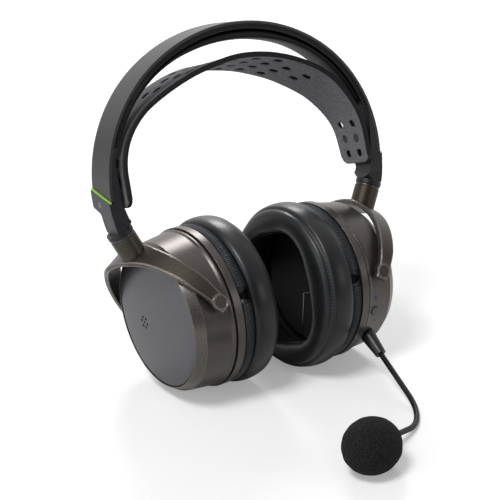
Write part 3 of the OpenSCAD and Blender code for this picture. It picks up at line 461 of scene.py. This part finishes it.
def lathe(outline, steps=192, closed=True):
    """A line of (radius, height) points turned about the Z axis."""
    bm = bmesh.new()
    points = [bm.verts.new((r, 0, z)) for r, z in outline]
    pairs = list(zip(points, points[1:])) + ([(points[-1], points[0])] if closed else [])
    edges = [bm.edges.new(pair) for pair in pairs]
    bmesh.ops.spin(bm, geom=points + edges, cent=(0, 0, 0), axis=(0, 0, 1), angle=2 * pi, steps=steps,
                   use_merge=True)
    bmesh.ops.remove_doubles(bm, verts=bm.verts, dist=1e-4)
    return bm


# %% [markdown]
# ## Ear pads
# A pad is two leather panels over foam. One wraps the outside, from the ribbed ring to a stitched
# seam near the pad's edge, and the other rolls over the face into the ear opening, where a second
# seam holds it. The leather is a little too long for its foam, so it bulges between the seams and
# puckers beside them. That is what a cloth simulation does well: the outline is spun, the seams are
# held, and pressure from inside lets the panels swell. The opening isn't round, so the inner rows
# are moved to a rounded rectangle that sits a little to the rear.

# %% Outline of a pad, from its back round the outside to the face and into the opening
PAD_ROWS = [(35.6, -21.2), (40, -21.2), (44.5, -21.2), (47.2, -21.3), (48.4, -22.8), (48.95, -25.0),
            (49.1, -27.6), (49.0, -30.2), (48.7, -32.6), (48.2, -34.6), (47.5, -36.0), (46.1, -35.6),
            (46.1, -37.3), (45.1, -38.4), (43.5, -39.0), (41.6, -39.3), (39.5, -39.2), (37.6, -38.8),
            (36.0, -38.1), (34.8, -37.1), (33.9, -36.0), (33.5, -34.9), (33.9, -34.0), (34.2, -32.8),
            (34.4, -29.6), (34.6, -26.0), (35.2, -23.6)]
HELD_ROWS = (0, 1, 2, 3, 11, 22, 24, 26)
PAD_STEPS = 144


def opening_radius(angle):
    """Distance from the cup's axis to the ear opening's edge, where an angle of 0 is straight down."""
    high = 33.9 if cos(angle) > 0 else 31.9
    deep, power = (35.5, 3.0) if sin(angle) > 0 else (24.6, 2.6)
    return (abs(cos(angle) / high) ** power + abs(sin(angle) / deep) ** power) ** (-1 / power)


def shape_opening(point):
    radius, angle = sqrt(point.x ** 2 + point.y ** 2), atan2(point.y, point.x)
    inward = max(0.0, (46.5 - radius) / 13.0)
    moved = radius + inward * (opening_radius(angle) - 33.5)
    return Vector((moved * cos(angle), moved * sin(angle), point.z))


opening_height = opening_radius(0) + opening_radius(pi)
opening_width = opening_radius(pi / 2) + opening_radius(-pi / 2)
print("the ear opening is", round(opening_height, 1), "mm high and", round(opening_width, 1), "mm wide")


# %% Swell the leather between its seams
def swell(piece, held, pressure, slack, cap_mm):
    """Cloth with pressure for 20 frames at ten times the size, where it is steadier. The foam behind the
    leather evens out its small wrinkles, so the movement is averaged between neighbours."""
    mesh, scene = piece.data, bpy.context.scene
    rest = [v.co.copy() for v in mesh.vertices]
    mesh.transform(Matrix.Scale(10, 4))
    piece.vertex_groups.new(name="held").add(held, 1.0, "REPLACE")
    cloth = piece.modifiers.new("Swell", "CLOTH")
    how = cloth.settings
    how.quality, how.mass, how.air_damping = 7, 0.25, 2.0
    how.tension_stiffness = how.compression_stiffness = 18
    how.shear_stiffness, how.bending_stiffness = 8, 0.8
    how.use_pressure, how.uniform_pressure_force = True, pressure
    how.vertex_group_mass, how.pin_stiffness, how.shrink_min = "held", 1.0, -slack
    how.effector_weights.gravity = 0
    cloth.point_cache.frame_start, cloth.point_cache.frame_end = 1, 20
    for number in range(1, 21):
        scene.frame_set(number)
    swollen = piece.evaluated_get(bpy.context.evaluated_depsgraph_get()).to_mesh()
    moved = [v.co / 10 - at for v, at in zip(swollen.vertices, rest)]
    piece.modifiers.remove(cloth)
    scene.frame_set(1)
    around = [[] for _ in rest]
    for edge in mesh.edges:
        a, b = edge.vertices
        around[a].append(b)
        around[b].append(a)
    for _ in range(6):
        moved = [(move + sum((moved[k] for k in near), Vector())) / (len(near) + 1)
                 for move, near in zip(moved, around)]
    cap = cap_mm / 1000
    for vertex, at, move in zip(mesh.vertices, rest, moved):
        vertex.co = at + (move if move.length < cap else move * (cap / move.length))
    print(piece.name, "swelled by up to", round(1000 * max(m.length for m in moved), 2), "mm")


# %% Puckers beside a seam, and the side that rests on the floor
def pucker(piece, place, side):
    """Shallow folds across the seams, deepest beside the inner one."""
    back = place.inverted()
    normals = [v.normal.copy() for v in piece.data.vertices]
    for vertex, normal in zip(piece.data.vertices, normals):
        at = back @ vertex.co
        angle, radius = atan2(at.y, at.x), sqrt(at.x ** 2 + at.y ** 2)
        near_inner = exp(-(((at.z + 35.9) / 1.9) ** 2)) * (1 if radius < 39 else 0)
        near_outer = exp(-(((at.z + 36.6) / 1.3) ** 2)) * (1 if radius > 43 else 0)
        round_it = Vector((cos(angle) * 9, sin(angle) * 9, 3.0 * side))
        folds = noise.noise(round_it * 1.6) + 0.6 * noise.noise(round_it * 3.7)
        broad = noise.noise(Vector((cos(angle) * 2.2, sin(angle) * 2.2, at.z * 0.08 + side)))
        depth = near_inner * 0.34 * folds + near_outer * 0.14 * folds + 0.12 * broad
        vertex.co += normal * depth / 1000
        vertex.co.z = max(vertex.co.z, 0.0)


for label, side in SIDES.items():
    place = cup_place(side)
    bm = lathe(PAD_ROWS, PAD_STEPS)
    for face in bm.faces:
        middle = face.calc_center_median()
        face.material_index = 1 if middle.xy.length < 35.5 and -34.2 < middle.z < -21.3 else 0
    for vertex in bm.verts:
        vertex.co = shape_opening(vertex.co)
    pad = make_piece("pad_cover_" + label, bm, place, "cup_" + label, "pad_leather",
                     ["ear_pad_" + label])
    pad.data.materials.append(finishes["baffle_cloth"])
    back = place.inverted()
    heights = [(back @ v.co).z for v in pad.data.vertices]
    held = [n for n, z in enumerate(heights)
            if any(abs(z - PAD_ROWS[row][1]) < 0.02 for row in HELD_ROWS)]
    swell(pad, held, 2.5, 0.01, 0.7)
    smooth = pad.modifiers.new("Smooth", "SUBSURF")
    smooth.levels = smooth.render_levels = 1
    pucker(pad, place, side)

# %% [markdown]
# ## Stitches
# Where two panels meet, the thread shows as short dashes sunk in the valley. One stitch is a small
# bead, and the seam is that bead turned round the pad's axis over and over, then pushed out to the
# opening's real shape in the same way as the leather.

# %% Two seams of stitches on each pad
def stitch_seam(radius, height, count, length, thick):
    bm = bmesh.new()
    for number in range(count):
        made = bmesh.ops.create_icosphere(bm, subdivisions=1, radius=1)["verts"]
        turned = Matrix.Rotation(2 * pi * number / count, 4, "Z") @ Matrix.Translation((radius, 0, height))
        bmesh.ops.transform(bm, matrix=turned @ Matrix.Diagonal((thick, length / 2, thick, 1)), verts=made)
    for vertex in bm.verts:
        vertex.co = shape_opening(vertex.co)
    return bm


SEAMS = (("outer", 46.3, -36.3, 150, "dark_thread"), ("inner", 33.7, -34.5, 110, "thread"))
STITCH_LENGTH, STITCH_THICKNESS = 1.2, 0.24
for label, side in SIDES.items():
    for part, radius, height, count, yarn in SEAMS:
        seam = stitch_seam(radius, height, count, STITCH_LENGTH, STITCH_THICKNESS)
        make_piece(f"pad_stitches_{part}_{label}", seam, cup_place(side), "cup_" + label, yarn)

# %% [markdown]
# ## Arches
# The headband and the strap are both three-centred arches: two side arcs and a flatter crown. One
# function walks along such an arch and returns evenly spaced points with the direction outwards.
# A ring of points, placed across the arch at each step and bridged to the ring before it, makes the
# roll, and the same walk later bends the flat strap.

# %% Walk along an arch
def arch_walk(half, rise, top_r, base, foot, count):
    """Points (x, z) and outward directions from the right foot over the crown to the left foot."""
    low_r = (top_r ** 2 - half ** 2 - (top_r - rise) ** 2) / (2 * (top_r - half))
    meet = atan2(half - low_r, top_r - rise)
    crown, low, leg = top_r * meet, low_r * (pi / 2 - meet), base - foot
    total, walk = crown + low + max(leg, 0), []
    start = 0.0 if leg >= 0 else -leg / low_r
    total -= start * low_r
    for number in range(count):
        along = total * (2 * number / (count - 1) - 1)
        s, sign = abs(along), 1 if along >= 0 else -1
        if s <= crown:
            angle = s / top_r
            x, z, nx, nz = top_r * sin(angle), rise - top_r + top_r * cos(angle), sin(angle), cos(angle)
        elif s <= crown + low:
            angle = meet + (s - crown) / low_r
            x, z, nx, nz = half - low_r + low_r * sin(angle), low_r * cos(angle), sin(angle), cos(angle)
        else:
            x, z, nx, nz = half, crown + low - s, 1, 0
        walk.append((Vector((sign * x, 0, base + z)), Vector((sign * nx, 0, nz)), along))
    return walk


def loft(places, around):
    """Rings of points bridged into a closed bar. Each place moves a point of a unit circle."""
    bm, before = bmesh.new(), None
    for number, place in enumerate(places):
        ends = number in (0, len(places) - 1)
        ring = bmesh.ops.create_circle(bm, cap_ends=ends, segments=around, radius=1)["verts"]
        for vertex in ring:
            vertex.co = place(vertex.co.x, vertex.co.y)
        edges = list({edge for vertex in ring for edge in vertex.link_edges})
        if before:
            bmesh.ops.bridge_loops(bm, edges=before + edges)
        before = edges
    return bm


def squared(x, y, power):
    """A point of a unit circle moved out to a rounded square."""
    size = (abs(x) ** power + abs(y) ** power) ** (-1 / power)
    return x * size, y * size


# Half width, rise, crown radius, height where the sides start, and height of the ends
STRAP_ARCH = (79, 54.7, 108, 72, 55.5)
print("the strap is", round(2 * arch_walk(*STRAP_ARCH, 3)[-1][2]), "mm long")

# %% [markdown]
# ## The soft roll
# Under the black channel runs a soft roll, thickest over the crown and thin where it ends in the
# caps. In section it is a rounded square that is fuller on the side towards the head, and its two
# ends are tucked in. A few slow waves along it keep it from looking like a hard moulding.

# %% Roll between the channel and its own inner arch
outer_walk = arch_walk(84.4, 79.7, 89.4, 65, 91.2, 90)
inner_walk = arch_walk(82.85, 74.0, 105.6, 65, 91.2, 90)
roll_places = []
for number, ((outer, normal, s), (inner, _, _)) in enumerate(zip(outer_walk, inner_walk)):
    tuck = min(1.0, 0.55 + 0.45 * min(number, 89 - number) / 2)
    middle, depth = (outer + inner) / 2, (outer - inner) / 2
    swell_here = 1 + 0.04 * noise.noise(Vector((s * 0.05, 3, 1)))

    def place_ring(x, y, middle=middle, depth=depth, tuck=tuck, swell_here=swell_here):
        x, y = squared(x, y, 3.4 if y > 0 else 2.6)
        return middle + depth * y * tuck * (swell_here if y < 0 else 1) + Vector((0, 10.0 * x * tuck, 0))

    roll_places.append(place_ring)
roll = make_piece("band_roll_cover", loft(roll_places, 28), STAND, "headband", "roll_leather",
                  ["band_roll"])

# %% [markdown]
# ## The suspension strap
# The strap is one strip of elastic. It starts as a flat grid with cells of a millimetre. Faces whose
# middle lies in a slot, in a post hole or outside the rounded corners are deleted, and the points
# left on each cut's rim are moved onto its true outline. Then the strip is bent along its arch, with
# a slow twist, since it hangs slack between its posts: its front edge drops a little on the right side
# and is lifted on the left. Solidify gives it a thickness and a darker cut edge.

# %% Slots and holes of the flat strap
STRAP_HALF_LENGTH = arch_walk(*STRAP_ARCH, 3)[-1][2]
strap_cuts = []
for row in range(8):
    for lane in (-1.5, -0.5, 0.5, 1.5):
        s = 51.5 - 5 * lane - 14.6 * row
        if abs(s) < (56 if abs(lane) < 1 else 33):
            strap_cuts.append((s, 6.5 * lane, 2.9, 1.5))
for end in (-1, 1):
    for k in (-1, 0, 1):
        for y in (-1, 1):
            strap_cuts.append((end * (STRAP_HALF_LENGTH - 15.5 - k * 9.3), y * 5.75, 2.2, 2.2))
print(len(strap_cuts), "cuts")


# %% The flat strap, cut and bent
def corner_excess(point, radius=6.5):
    """How far outside the strap's rounded corner a point lies, and the nearest point on the corner."""
    dx, dy = abs(point.x) - (STRAP_HALF_LENGTH - radius), abs(point.y) - (15 - radius)
    if dx <= 0 or dy <= 0:
        return -1, point
    out = sqrt(dx * dx + dy * dy)
    fixed = Vector(((STRAP_HALF_LENGTH - radius + dx * radius / out) * (1 if point.x > 0 else -1),
                    (15 - radius + dy * radius / out) * (1 if point.y > 0 else -1), 0))
    return out - radius, fixed


def inside_cut(point, cut):
    return sqrt(((point.x - cut[0]) / cut[2]) ** 2 + ((point.y - cut[1]) / cut[3]) ** 2)


def strap_bend(s):
    """Twist in degrees and shift outwards in millimetres, blended between eleven places on the strap."""
    places = [(-125, 0, 0), (-95, 4, -1), (-70, 0, -1), (-45, -6, 0), (-20, -4, 0.5), (5, 9, 0), (30, 16, -1),
              (55, 20, -2), (80, 13, -4), (100, 2, -1.5), (125, 0, 0)]
    weights = [exp(-(((s - at) / 17) ** 2)) for at, _, _ in places]
    return [sum(w * place[k] for w, place in zip(weights, places)) / sum(weights) for k in (1, 2)]


bm = bmesh.new()
bmesh.ops.create_grid(bm, x_segments=int(2 * STRAP_HALF_LENGTH), y_segments=30, size=1,
                      matrix=Matrix.Diagonal((STRAP_HALF_LENGTH, 15, 1, 1)))
gone = []
for face in bm.faces:
    middle = face.calc_center_median()
    near_cuts = [cut for cut in strap_cuts if abs(cut[0] - middle.x) < 4]
    if corner_excess(middle)[0] > 0 or any(inside_cut(middle, cut) < 1 for cut in near_cuts):
        gone.append(face)
bmesh.ops.delete(bm, geom=gone, context="FACES")
for vertex in [v for v in bm.verts if v.is_boundary]:
    near = min(strap_cuts, key=lambda cut: inside_cut(vertex.co, cut))
    reach = inside_cut(vertex.co, near)
    excess, fixed = corner_excess(vertex.co)
    if reach < 1.7:
        vertex.co = Vector((near[0] + (vertex.co.x - near[0]) / reach,
                            near[1] + (vertex.co.y - near[1]) / reach, 0))
    elif excess > -1.2:
        vertex.co = fixed
strap_line = arch_walk(*STRAP_ARCH, 401)
for face in bm.faces:
    face.material_index = 1 if abs(face.calc_center_median().y) > 13.9 else 0
for vertex in bm.verts:
    along = (vertex.co.x / STRAP_HALF_LENGTH + 1) * 200
    number = min(399, max(0, int(along)))
    part = along - number
    (a, na, s), (b, nb, _) = strap_line[number], strap_line[number + 1]
    middle, normal = a.lerp(b, part), na.lerp(nb, part).normalized()
    degrees, outwards = strap_bend(s)
    twist, lane = radians(degrees), vertex.co.y
    vertex.co = middle + Vector((0, lane * cos(twist), 0)) + normal * (outwards - lane * sin(twist))
strap = make_piece("strap_elastic", bm, strap_place(), "headband", "strap_elastic",
                   ["suspension_strap"])
strap.data.materials.append(finishes["strap_edge"])
thick = strap.modifiers.new("Thickness", "SOLIDIFY")
thick.thickness, thick.offset, thick.material_offset_rim, thick.use_even_offset = 0.0031, 0, 1, True
round_off = strap.modifiers.new("Smooth", "SUBSURF")
round_off.levels = round_off.render_levels = 1
print("the strap has", len(strap.data.polygons), "faces before it gets its thickness")

# %% [markdown]
# ## The windscreen
# Foam has no smooth surface: it is cut from a block through its pores. An icosphere with many small
# triangles is stretched to the windscreen's oval, and each point is pushed in by two sizes of noise,
# a coarse one for the hand-cut shape and a fine one for the pores. Its underside rests on the floor.

# %% Foam ball on the boom
neck_start = Vector((61 * sin(radians(52)), -61 * cos(radians(52)), -2.2))
neck_corner = neck_start + Vector((36.5, -40, -8.8))
mic_point = neck_corner + Vector((-2.6, -25, -60.5))
neck_turn = (neck_corner - mic_point).to_track_quat("Z", "Y").to_matrix().to_4x4()
mic_place = cup_place(LEFT) @ shift(*mic_point) @ neck_turn
bm = bmesh.new()
bmesh.ops.create_icosphere(bm, subdivisions=7, radius=1)
for vertex in bm.verts:
    out = vertex.co.normalized()
    coarse, fine = noise.noise(out * 3.1), noise.noise(out * 21) + 0.8 * noise.noise(out * 43)
    size = 15.2 + 0.25 * coarse + 0.3 * min(0.0, fine)
    vertex.co = out * size + Vector((0, 0, 2.2 * max(-1, min(1, out.z * 1.6))))
foam = make_piece("windscreen_foam", bm, mic_place, "boom", "windscreen_foam", ["windscreen"])
for vertex in foam.data.vertices:
    vertex.co.z = max(vertex.co.z, 0.0)

# %% [markdown]
# ## Ribbed rings
# The ring that holds a pad has fine ribs for the fingertips all the way round, apart from a short
# gap at the front where it is pulled off. A core painted near-black, as the shade that shows in the gap
# and beside the flange, is spun first, and a band is spun over it that stops short of a full turn. One
# rib, a cube with its outer end narrowed, is repeated round the band, painted lighter than the band as
# a highlight on its crest.

# %% Band with pointed ends, and its ribs
GAP = (-93.4, -84.8)


def ring_band():
    """The ring's outer band, open for 9 degrees, with both ends drawn to a point beside the flange."""
    bm = bmesh.new()
    section = ((44.7, -15.0), (46.5, -15.0), (46.5, -20.9), (44.7, -20.9))
    corners = [bm.verts.new((r, 0, z)) for r, z in section]
    edges = [bm.edges.new((corners[k - 1], corners[k])) for k in range(4)]
    bmesh.ops.rotate(bm, cent=(0, 0, 0), matrix=Matrix.Rotation(radians(GAP[1]), 3, "Z"), verts=bm.verts)
    bmesh.ops.spin(bm, geom=corners + edges, cent=(0, 0, 0), axis=(0, 0, 1), angle=radians(351.4), steps=176)
    bmesh.ops.holes_fill(bm, edges=[edge for edge in bm.edges if edge.is_boundary])
    for vertex in bm.verts:
        degrees = atan2(vertex.co.y, vertex.co.x) * 180 / pi
        for end, way in zip(GAP, (1, -1)):
            if abs(degrees - end) < 0.5:
                turned = Matrix.Rotation(radians(way * 0.45 * (vertex.co.z + 20.9)), 3, "Z")
                vertex.co = turned @ vertex.co
    return bm


def ring_ribs(count=236):
    bm = bmesh.new()
    for number in range(count):
        degrees = 360 * number / count - 180
        if GAP[0] - 2 < degrees < GAP[1] + 2:
            continue
        rib = bmesh.ops.create_cube(bm, size=1)["verts"]
        for vertex in rib:
            narrow = 0.6 if vertex.co.x > 0 else 1.0
            length = 5.6 if vertex.co.x < 0 else 5.0
            vertex.co = Vector((46.75 + vertex.co.x * 0.8, vertex.co.y * 0.62 * narrow,
                                -17.95 + vertex.co.z * length))
        bmesh.ops.rotate(bm, cent=(0, 0, 0), matrix=Matrix.Rotation(radians(degrees), 3, "Z"), verts=rib)
    return bm


for label, side in SIDES.items():
    core = lathe([(38.3, -14.1), (44.9, -14.1), (44.9, -21.0), (38.3, -21.0)], 144)
    place, cup = cup_place(side), "cup_" + label
    # The core is painted near-black, as the shade in the gaps where it shows.
    make_piece("ribbed_ring_core_" + label, core, place, cup, "shade_black",
               ["ribbed_ring_" + label])
    make_piece("ribbed_ring_band_" + label, ring_band(), place, cup, "ring_plastic")
    # The ribs wear the lighter plastic, a painted highlight on their crests.
    make_piece("ribbed_ring_grip_" + label, ring_ribs(), place, cup, "lit_rib_plastic")

# %% [markdown]
# ## Cloth over the driver
# Inside the ear opening a black cloth is stretched over the driver's grille. It is one disc with a
# shallow dish, open weave, and a fine piping sewn on where its two halves meet.

# %% Stretched cloth with its piping
def cloth_disc(radius, height, dish):
    bm = bmesh.new()
    bmesh.ops.create_circle(bm, cap_ends=True, cap_tris=True, segments=96, radius=radius)
    spokes = [edge for edge in bm.edges if not edge.is_boundary]
    bmesh.ops.subdivide_edges(bm, edges=spokes, cuts=10, use_grid_fill=True)
    for vertex in bm.verts:
        share = min(1.0, vertex.co.length / radius)
        vertex.co.z = height + dish * (1 - share * share)
    return bm


for label, side in SIDES.items():
    cloth = make_piece("baffle_cover_" + label, cloth_disc(36.0, -17.9, 0.4), cup_place(side), "cup_" + label,
                       "baffle_cloth")
    bm = bmesh.new()
    for (x0, y0), (x1, y1) in (((32, 14), (6.8, 5.1)), ((6.8, 5.1), (7.1, -1.2))):
        length = sqrt((x1 - x0) ** 2 + (y1 - y0) ** 2)
        lie = shift((x0 + x1) / 2, (y0 + y1) / 2, -18.0) @ Matrix.Rotation(atan2(y1 - y0, x1 - x0), 4, "Z")
        bmesh.ops.create_cube(bm, size=1, matrix=lie @ Matrix.Diagonal((length + 0.4, 0.45, 0.5, 1)))
    make_piece("baffle_piping_" + label, bm, cup_place(side), "cup_" + label, "thread")

# %% [markdown]
# ## The domed covers
# Each cup is closed by a lacquered cover that is slightly domed and rolls over more sharply at
# its rim. Seven small vents sit near its rear edge, their walls and floors painted near-black as the
# shade inside them. They are cut with one joined set of cylinders and a Boolean, which works best on
# a large, unmirrored shape, so the cover is cut in millimetres before it is moved to its place. The
# bevel comes last, so that the vents' rims catch light too. A near-black ring in the gap round the
# cover paints the shade in that gap.

# %% Cover with vents
def cover_outline(rim=39.8, seam=14.5, dome=2.4, count=22):
    line = [(0, seam - 2), (rim, seam - 2), (rim, seam - 0.45)]
    for k in range(count, -1, -1):
        share = k / count
        roll_off = 0.45 * max(0.0, (share - 0.9) / 0.1) ** 2
        line.append((rim * share, seam + dome * (1 - share ** 2.1) - roll_off))
    return line


def scratch_object(name, bm):
    """An object for a Boolean only, which is removed after it."""
    bmesh.ops.recalc_face_normals(bm, faces=bm.faces)
    mesh = bpy.data.meshes.new(name)
    bm.to_mesh(mesh)
    bm.free()
    made = bpy.data.objects.new(name, mesh)
    bpy.context.scene.collection.objects.link(made)
    return made


def cut_vents(blank, spots, radius=0.85, floor_height=13.7):
    """The blank with a blind hole at each spot. The holes' faces have material number 1, painted near-black
    as the shade inside the vents.
    """
    drill = bmesh.new()
    for x, y in spots:
        bmesh.ops.create_cone(drill, cap_ends=True, segments=24, radius1=radius, radius2=radius, depth=4,
                              matrix=shift(x, y, floor_height + 2))
    solid, drills = scratch_object("blank", blank), scratch_object("drills", drill)
    solid.data.materials.append(finishes["cover_metal"])
    # The drills' near-black goes onto the holes' faces, as painted shade inside the vents.
    drills.data.materials.append(finishes["shade_black"])
    cut = solid.modifiers.new("Vents", "BOOLEAN")
    cut.object, cut.operation, cut.solver, cut.material_mode = drills, "DIFFERENCE", "EXACT", "TRANSFER"
    bm = bmesh.new()
    bm.from_object(solid, bpy.context.evaluated_depsgraph_get())
    for scratch in (solid, drills):
        bpy.data.objects.remove(scratch)
    return bm


VENTS = [(0, 11)] + [(3.1 * cos(radians(a)), 11 + 3.1 * sin(radians(a))) for a in range(0, 360, 60)]
for label, side in SIDES.items():
    bm = cut_vents(lathe(cover_outline(), 192, closed=False), VENTS)
    cover = make_piece("cover_" + label, bm, cup_place(side), "cup_" + label, "cover_metal",
                       ["outer_plate_" + label], edge_mm=0.2)
    # The vents' faces are painted near-black, as the shade inside them.
    cover.data.materials.append(finishes["shade_black"])
    print(sum(face.material_index for face in cover.data.polygons), "of its faces are in the vents")
    # A near-black ring in the gap between cover and bezel paints the shade in that gap.
    gap_shade_ring = lathe([(39.6, 13.0), (40.26, 13.0), (40.26, 14.2), (39.6, 14.2)], 144)
    make_piece("cover_gap_shade_" + label, gap_shade_ring, cup_place(side), "cup_" + label, "shade_black")

# %% [markdown]
# ## The studio
# The floor is plain and pale and keeps the headset's shadow. For the camera it also glows a little,
# so that it reads as white where nothing shades it, without any more light on the headset. The world
# is white to the camera, a soft grey to the light it gives, and in reflections it is white behind the
# headset and in a soft box high at the left, and dark where the photographer would stand. A lamp stands high
# at the left, a low one lights the right cup's cover, and weaker ones fill in front and edge it behind.

# %% Floor and world
bm = bmesh.new()
bmesh.ops.create_grid(bm, x_segments=4, y_segments=4, size=4)
floor_mesh = bpy.data.meshes.new("floor")
bm.to_mesh(floor_mesh)
bm.free()
floor = bpy.data.objects.new("floor", floor_mesh)
bpy.context.scene.collection.objects.link(floor)
floor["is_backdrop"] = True
ground = Finish("ground")
seen = ground.node("ShaderNodeLightPath", output="Is Camera Ray")
ground.set(Base_Color=(0.84, 0.84, 0.84, 1), Roughness=0.6 + ground.grain(40) * 0.05, Emission_Strength=1.0,
           Specular_IOR_Level=0.2, Emission_Color=ground.mixed(seen, (0, 0, 0, 1), (0.28, 0.28, 0.28, 1)))
floor.data.materials.append(ground.material)

world = bpy.data.worlds.new("studio")
world.use_nodes = True
bpy.context.scene.world = world
tree = world.node_tree
sky = next(n for n in tree.nodes if n.type == "BACKGROUND")


def world_maths(operation, *values):
    made = tree.nodes.new("ShaderNodeMath")
    made.operation = operation
    for number, value in enumerate(values):
        if isinstance(value, (int, float)):
            made.inputs[number].default_value = value
        else:
            tree.links.new(value, made.inputs[number])
    return made.outputs[0]


path = tree.nodes.new("ShaderNodeLightPath").outputs
outward = tree.nodes.new("ShaderNodeTexCoord").outputs["Generated"]


def toward(x, y, z):
    """1 for rays that leave in this direction, falling to -1 for those that leave the other way."""
    made = tree.nodes.new("ShaderNodeVectorMath")
    made.operation = "DOT_PRODUCT"
    tree.links.new(outward, made.inputs[0])
    made.inputs[1].default_value = Vector((x, y, z)).normalized()
    return made.outputs["Value"]


behind = world_maths("MULTIPLY_ADD", toward(0.35, 0.8, 0.49), 0.85, 0.3)
high_left = world_maths("MAXIMUM", toward(-0.75, -0.25, 0.6), 0)
softbox = world_maths("MULTIPLY", world_maths("POWER", high_left, 7), 1.1)
brightest = world_maths("MAXIMUM", behind, softbox)
white_side = world_maths("MINIMUM", world_maths("MAXIMUM", brightest, 0.07), 1.0)
seen_directly = world_maths("MAXIMUM", path["Is Camera Ray"], path["Is Transmission Ray"])
mirrored = world_maths("MULTIPLY", path["Is Glossy Ray"], white_side)
given = world_maths("MULTIPLY", path["Is Diffuse Ray"], 0.2)
strength = world_maths("MAXIMUM", seen_directly, world_maths("MAXIMUM", mirrored, given))
tree.links.new(strength, sky.inputs["Strength"])
sky.inputs["Color"].default_value = (1, 1, 1, 1)


# %% Lamps
def lamp(name, place, aim, size, watts):
    light = bpy.data.lights.new(name, "AREA")
    light.shape, light.size, light.energy = "DISK", size, watts
    thing = bpy.data.objects.new(name, light)
    bpy.context.scene.collection.objects.link(thing)
    thing.location = place
    thing.rotation_euler = (Vector(aim) - Vector(place)).to_track_quat("-Z", "Y").to_euler()
    return thing


lamp("key", (-0.75, -0.35, 1.45), (0, 0, 0.1), 0.55, 15)
lamp("side", (-1.4, 0.15, 0.25), (0, 0, 0.08), 0.8, 6)
lamp("fill", (1.0, -1.3, 0.6), (0, 0, 0.1), 0.7, 2.5)
lamp("back", (0.5, 1.1, 1.1), (0, 0, 0.1), 0.6, 12)

# %% [markdown]
# ## The camera
# The camera stands in front of the wearer's right, a little above, with a long lens, so that the
# near cup isn't swollen by the view.

# %% Camera
camera = bpy.data.objects.new("camera", bpy.data.cameras.new("camera"))
bpy.context.scene.collection.objects.link(camera)
across = (0.86450422, -0.50238308, -0.01561046)
upward = (0.20849817, 0.33017934, 0.92060313)
back = (-0.45734119, -0.79912004, 0.39018739)
camera.matrix_world = Matrix((across, upward, back)).transposed().to_4x4()
camera.location = (-0.371116, -0.590935, 0.388094)
camera.data.lens, camera.data.sensor_width = 99.3, 36
camera.data.clip_start, camera.data.clip_end = 0.01, 20
bpy.context.scene.camera = camera
bpy.context.scene.view_settings.view_transform = "Standard"

# %% Sizes of the solid model and of the dressed one
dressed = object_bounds()
for name, box in (("solid", solid_box), ("dressed", dressed)):
    print(name, [round(1000 * (high - low), 1) for low, high in zip(*box)])
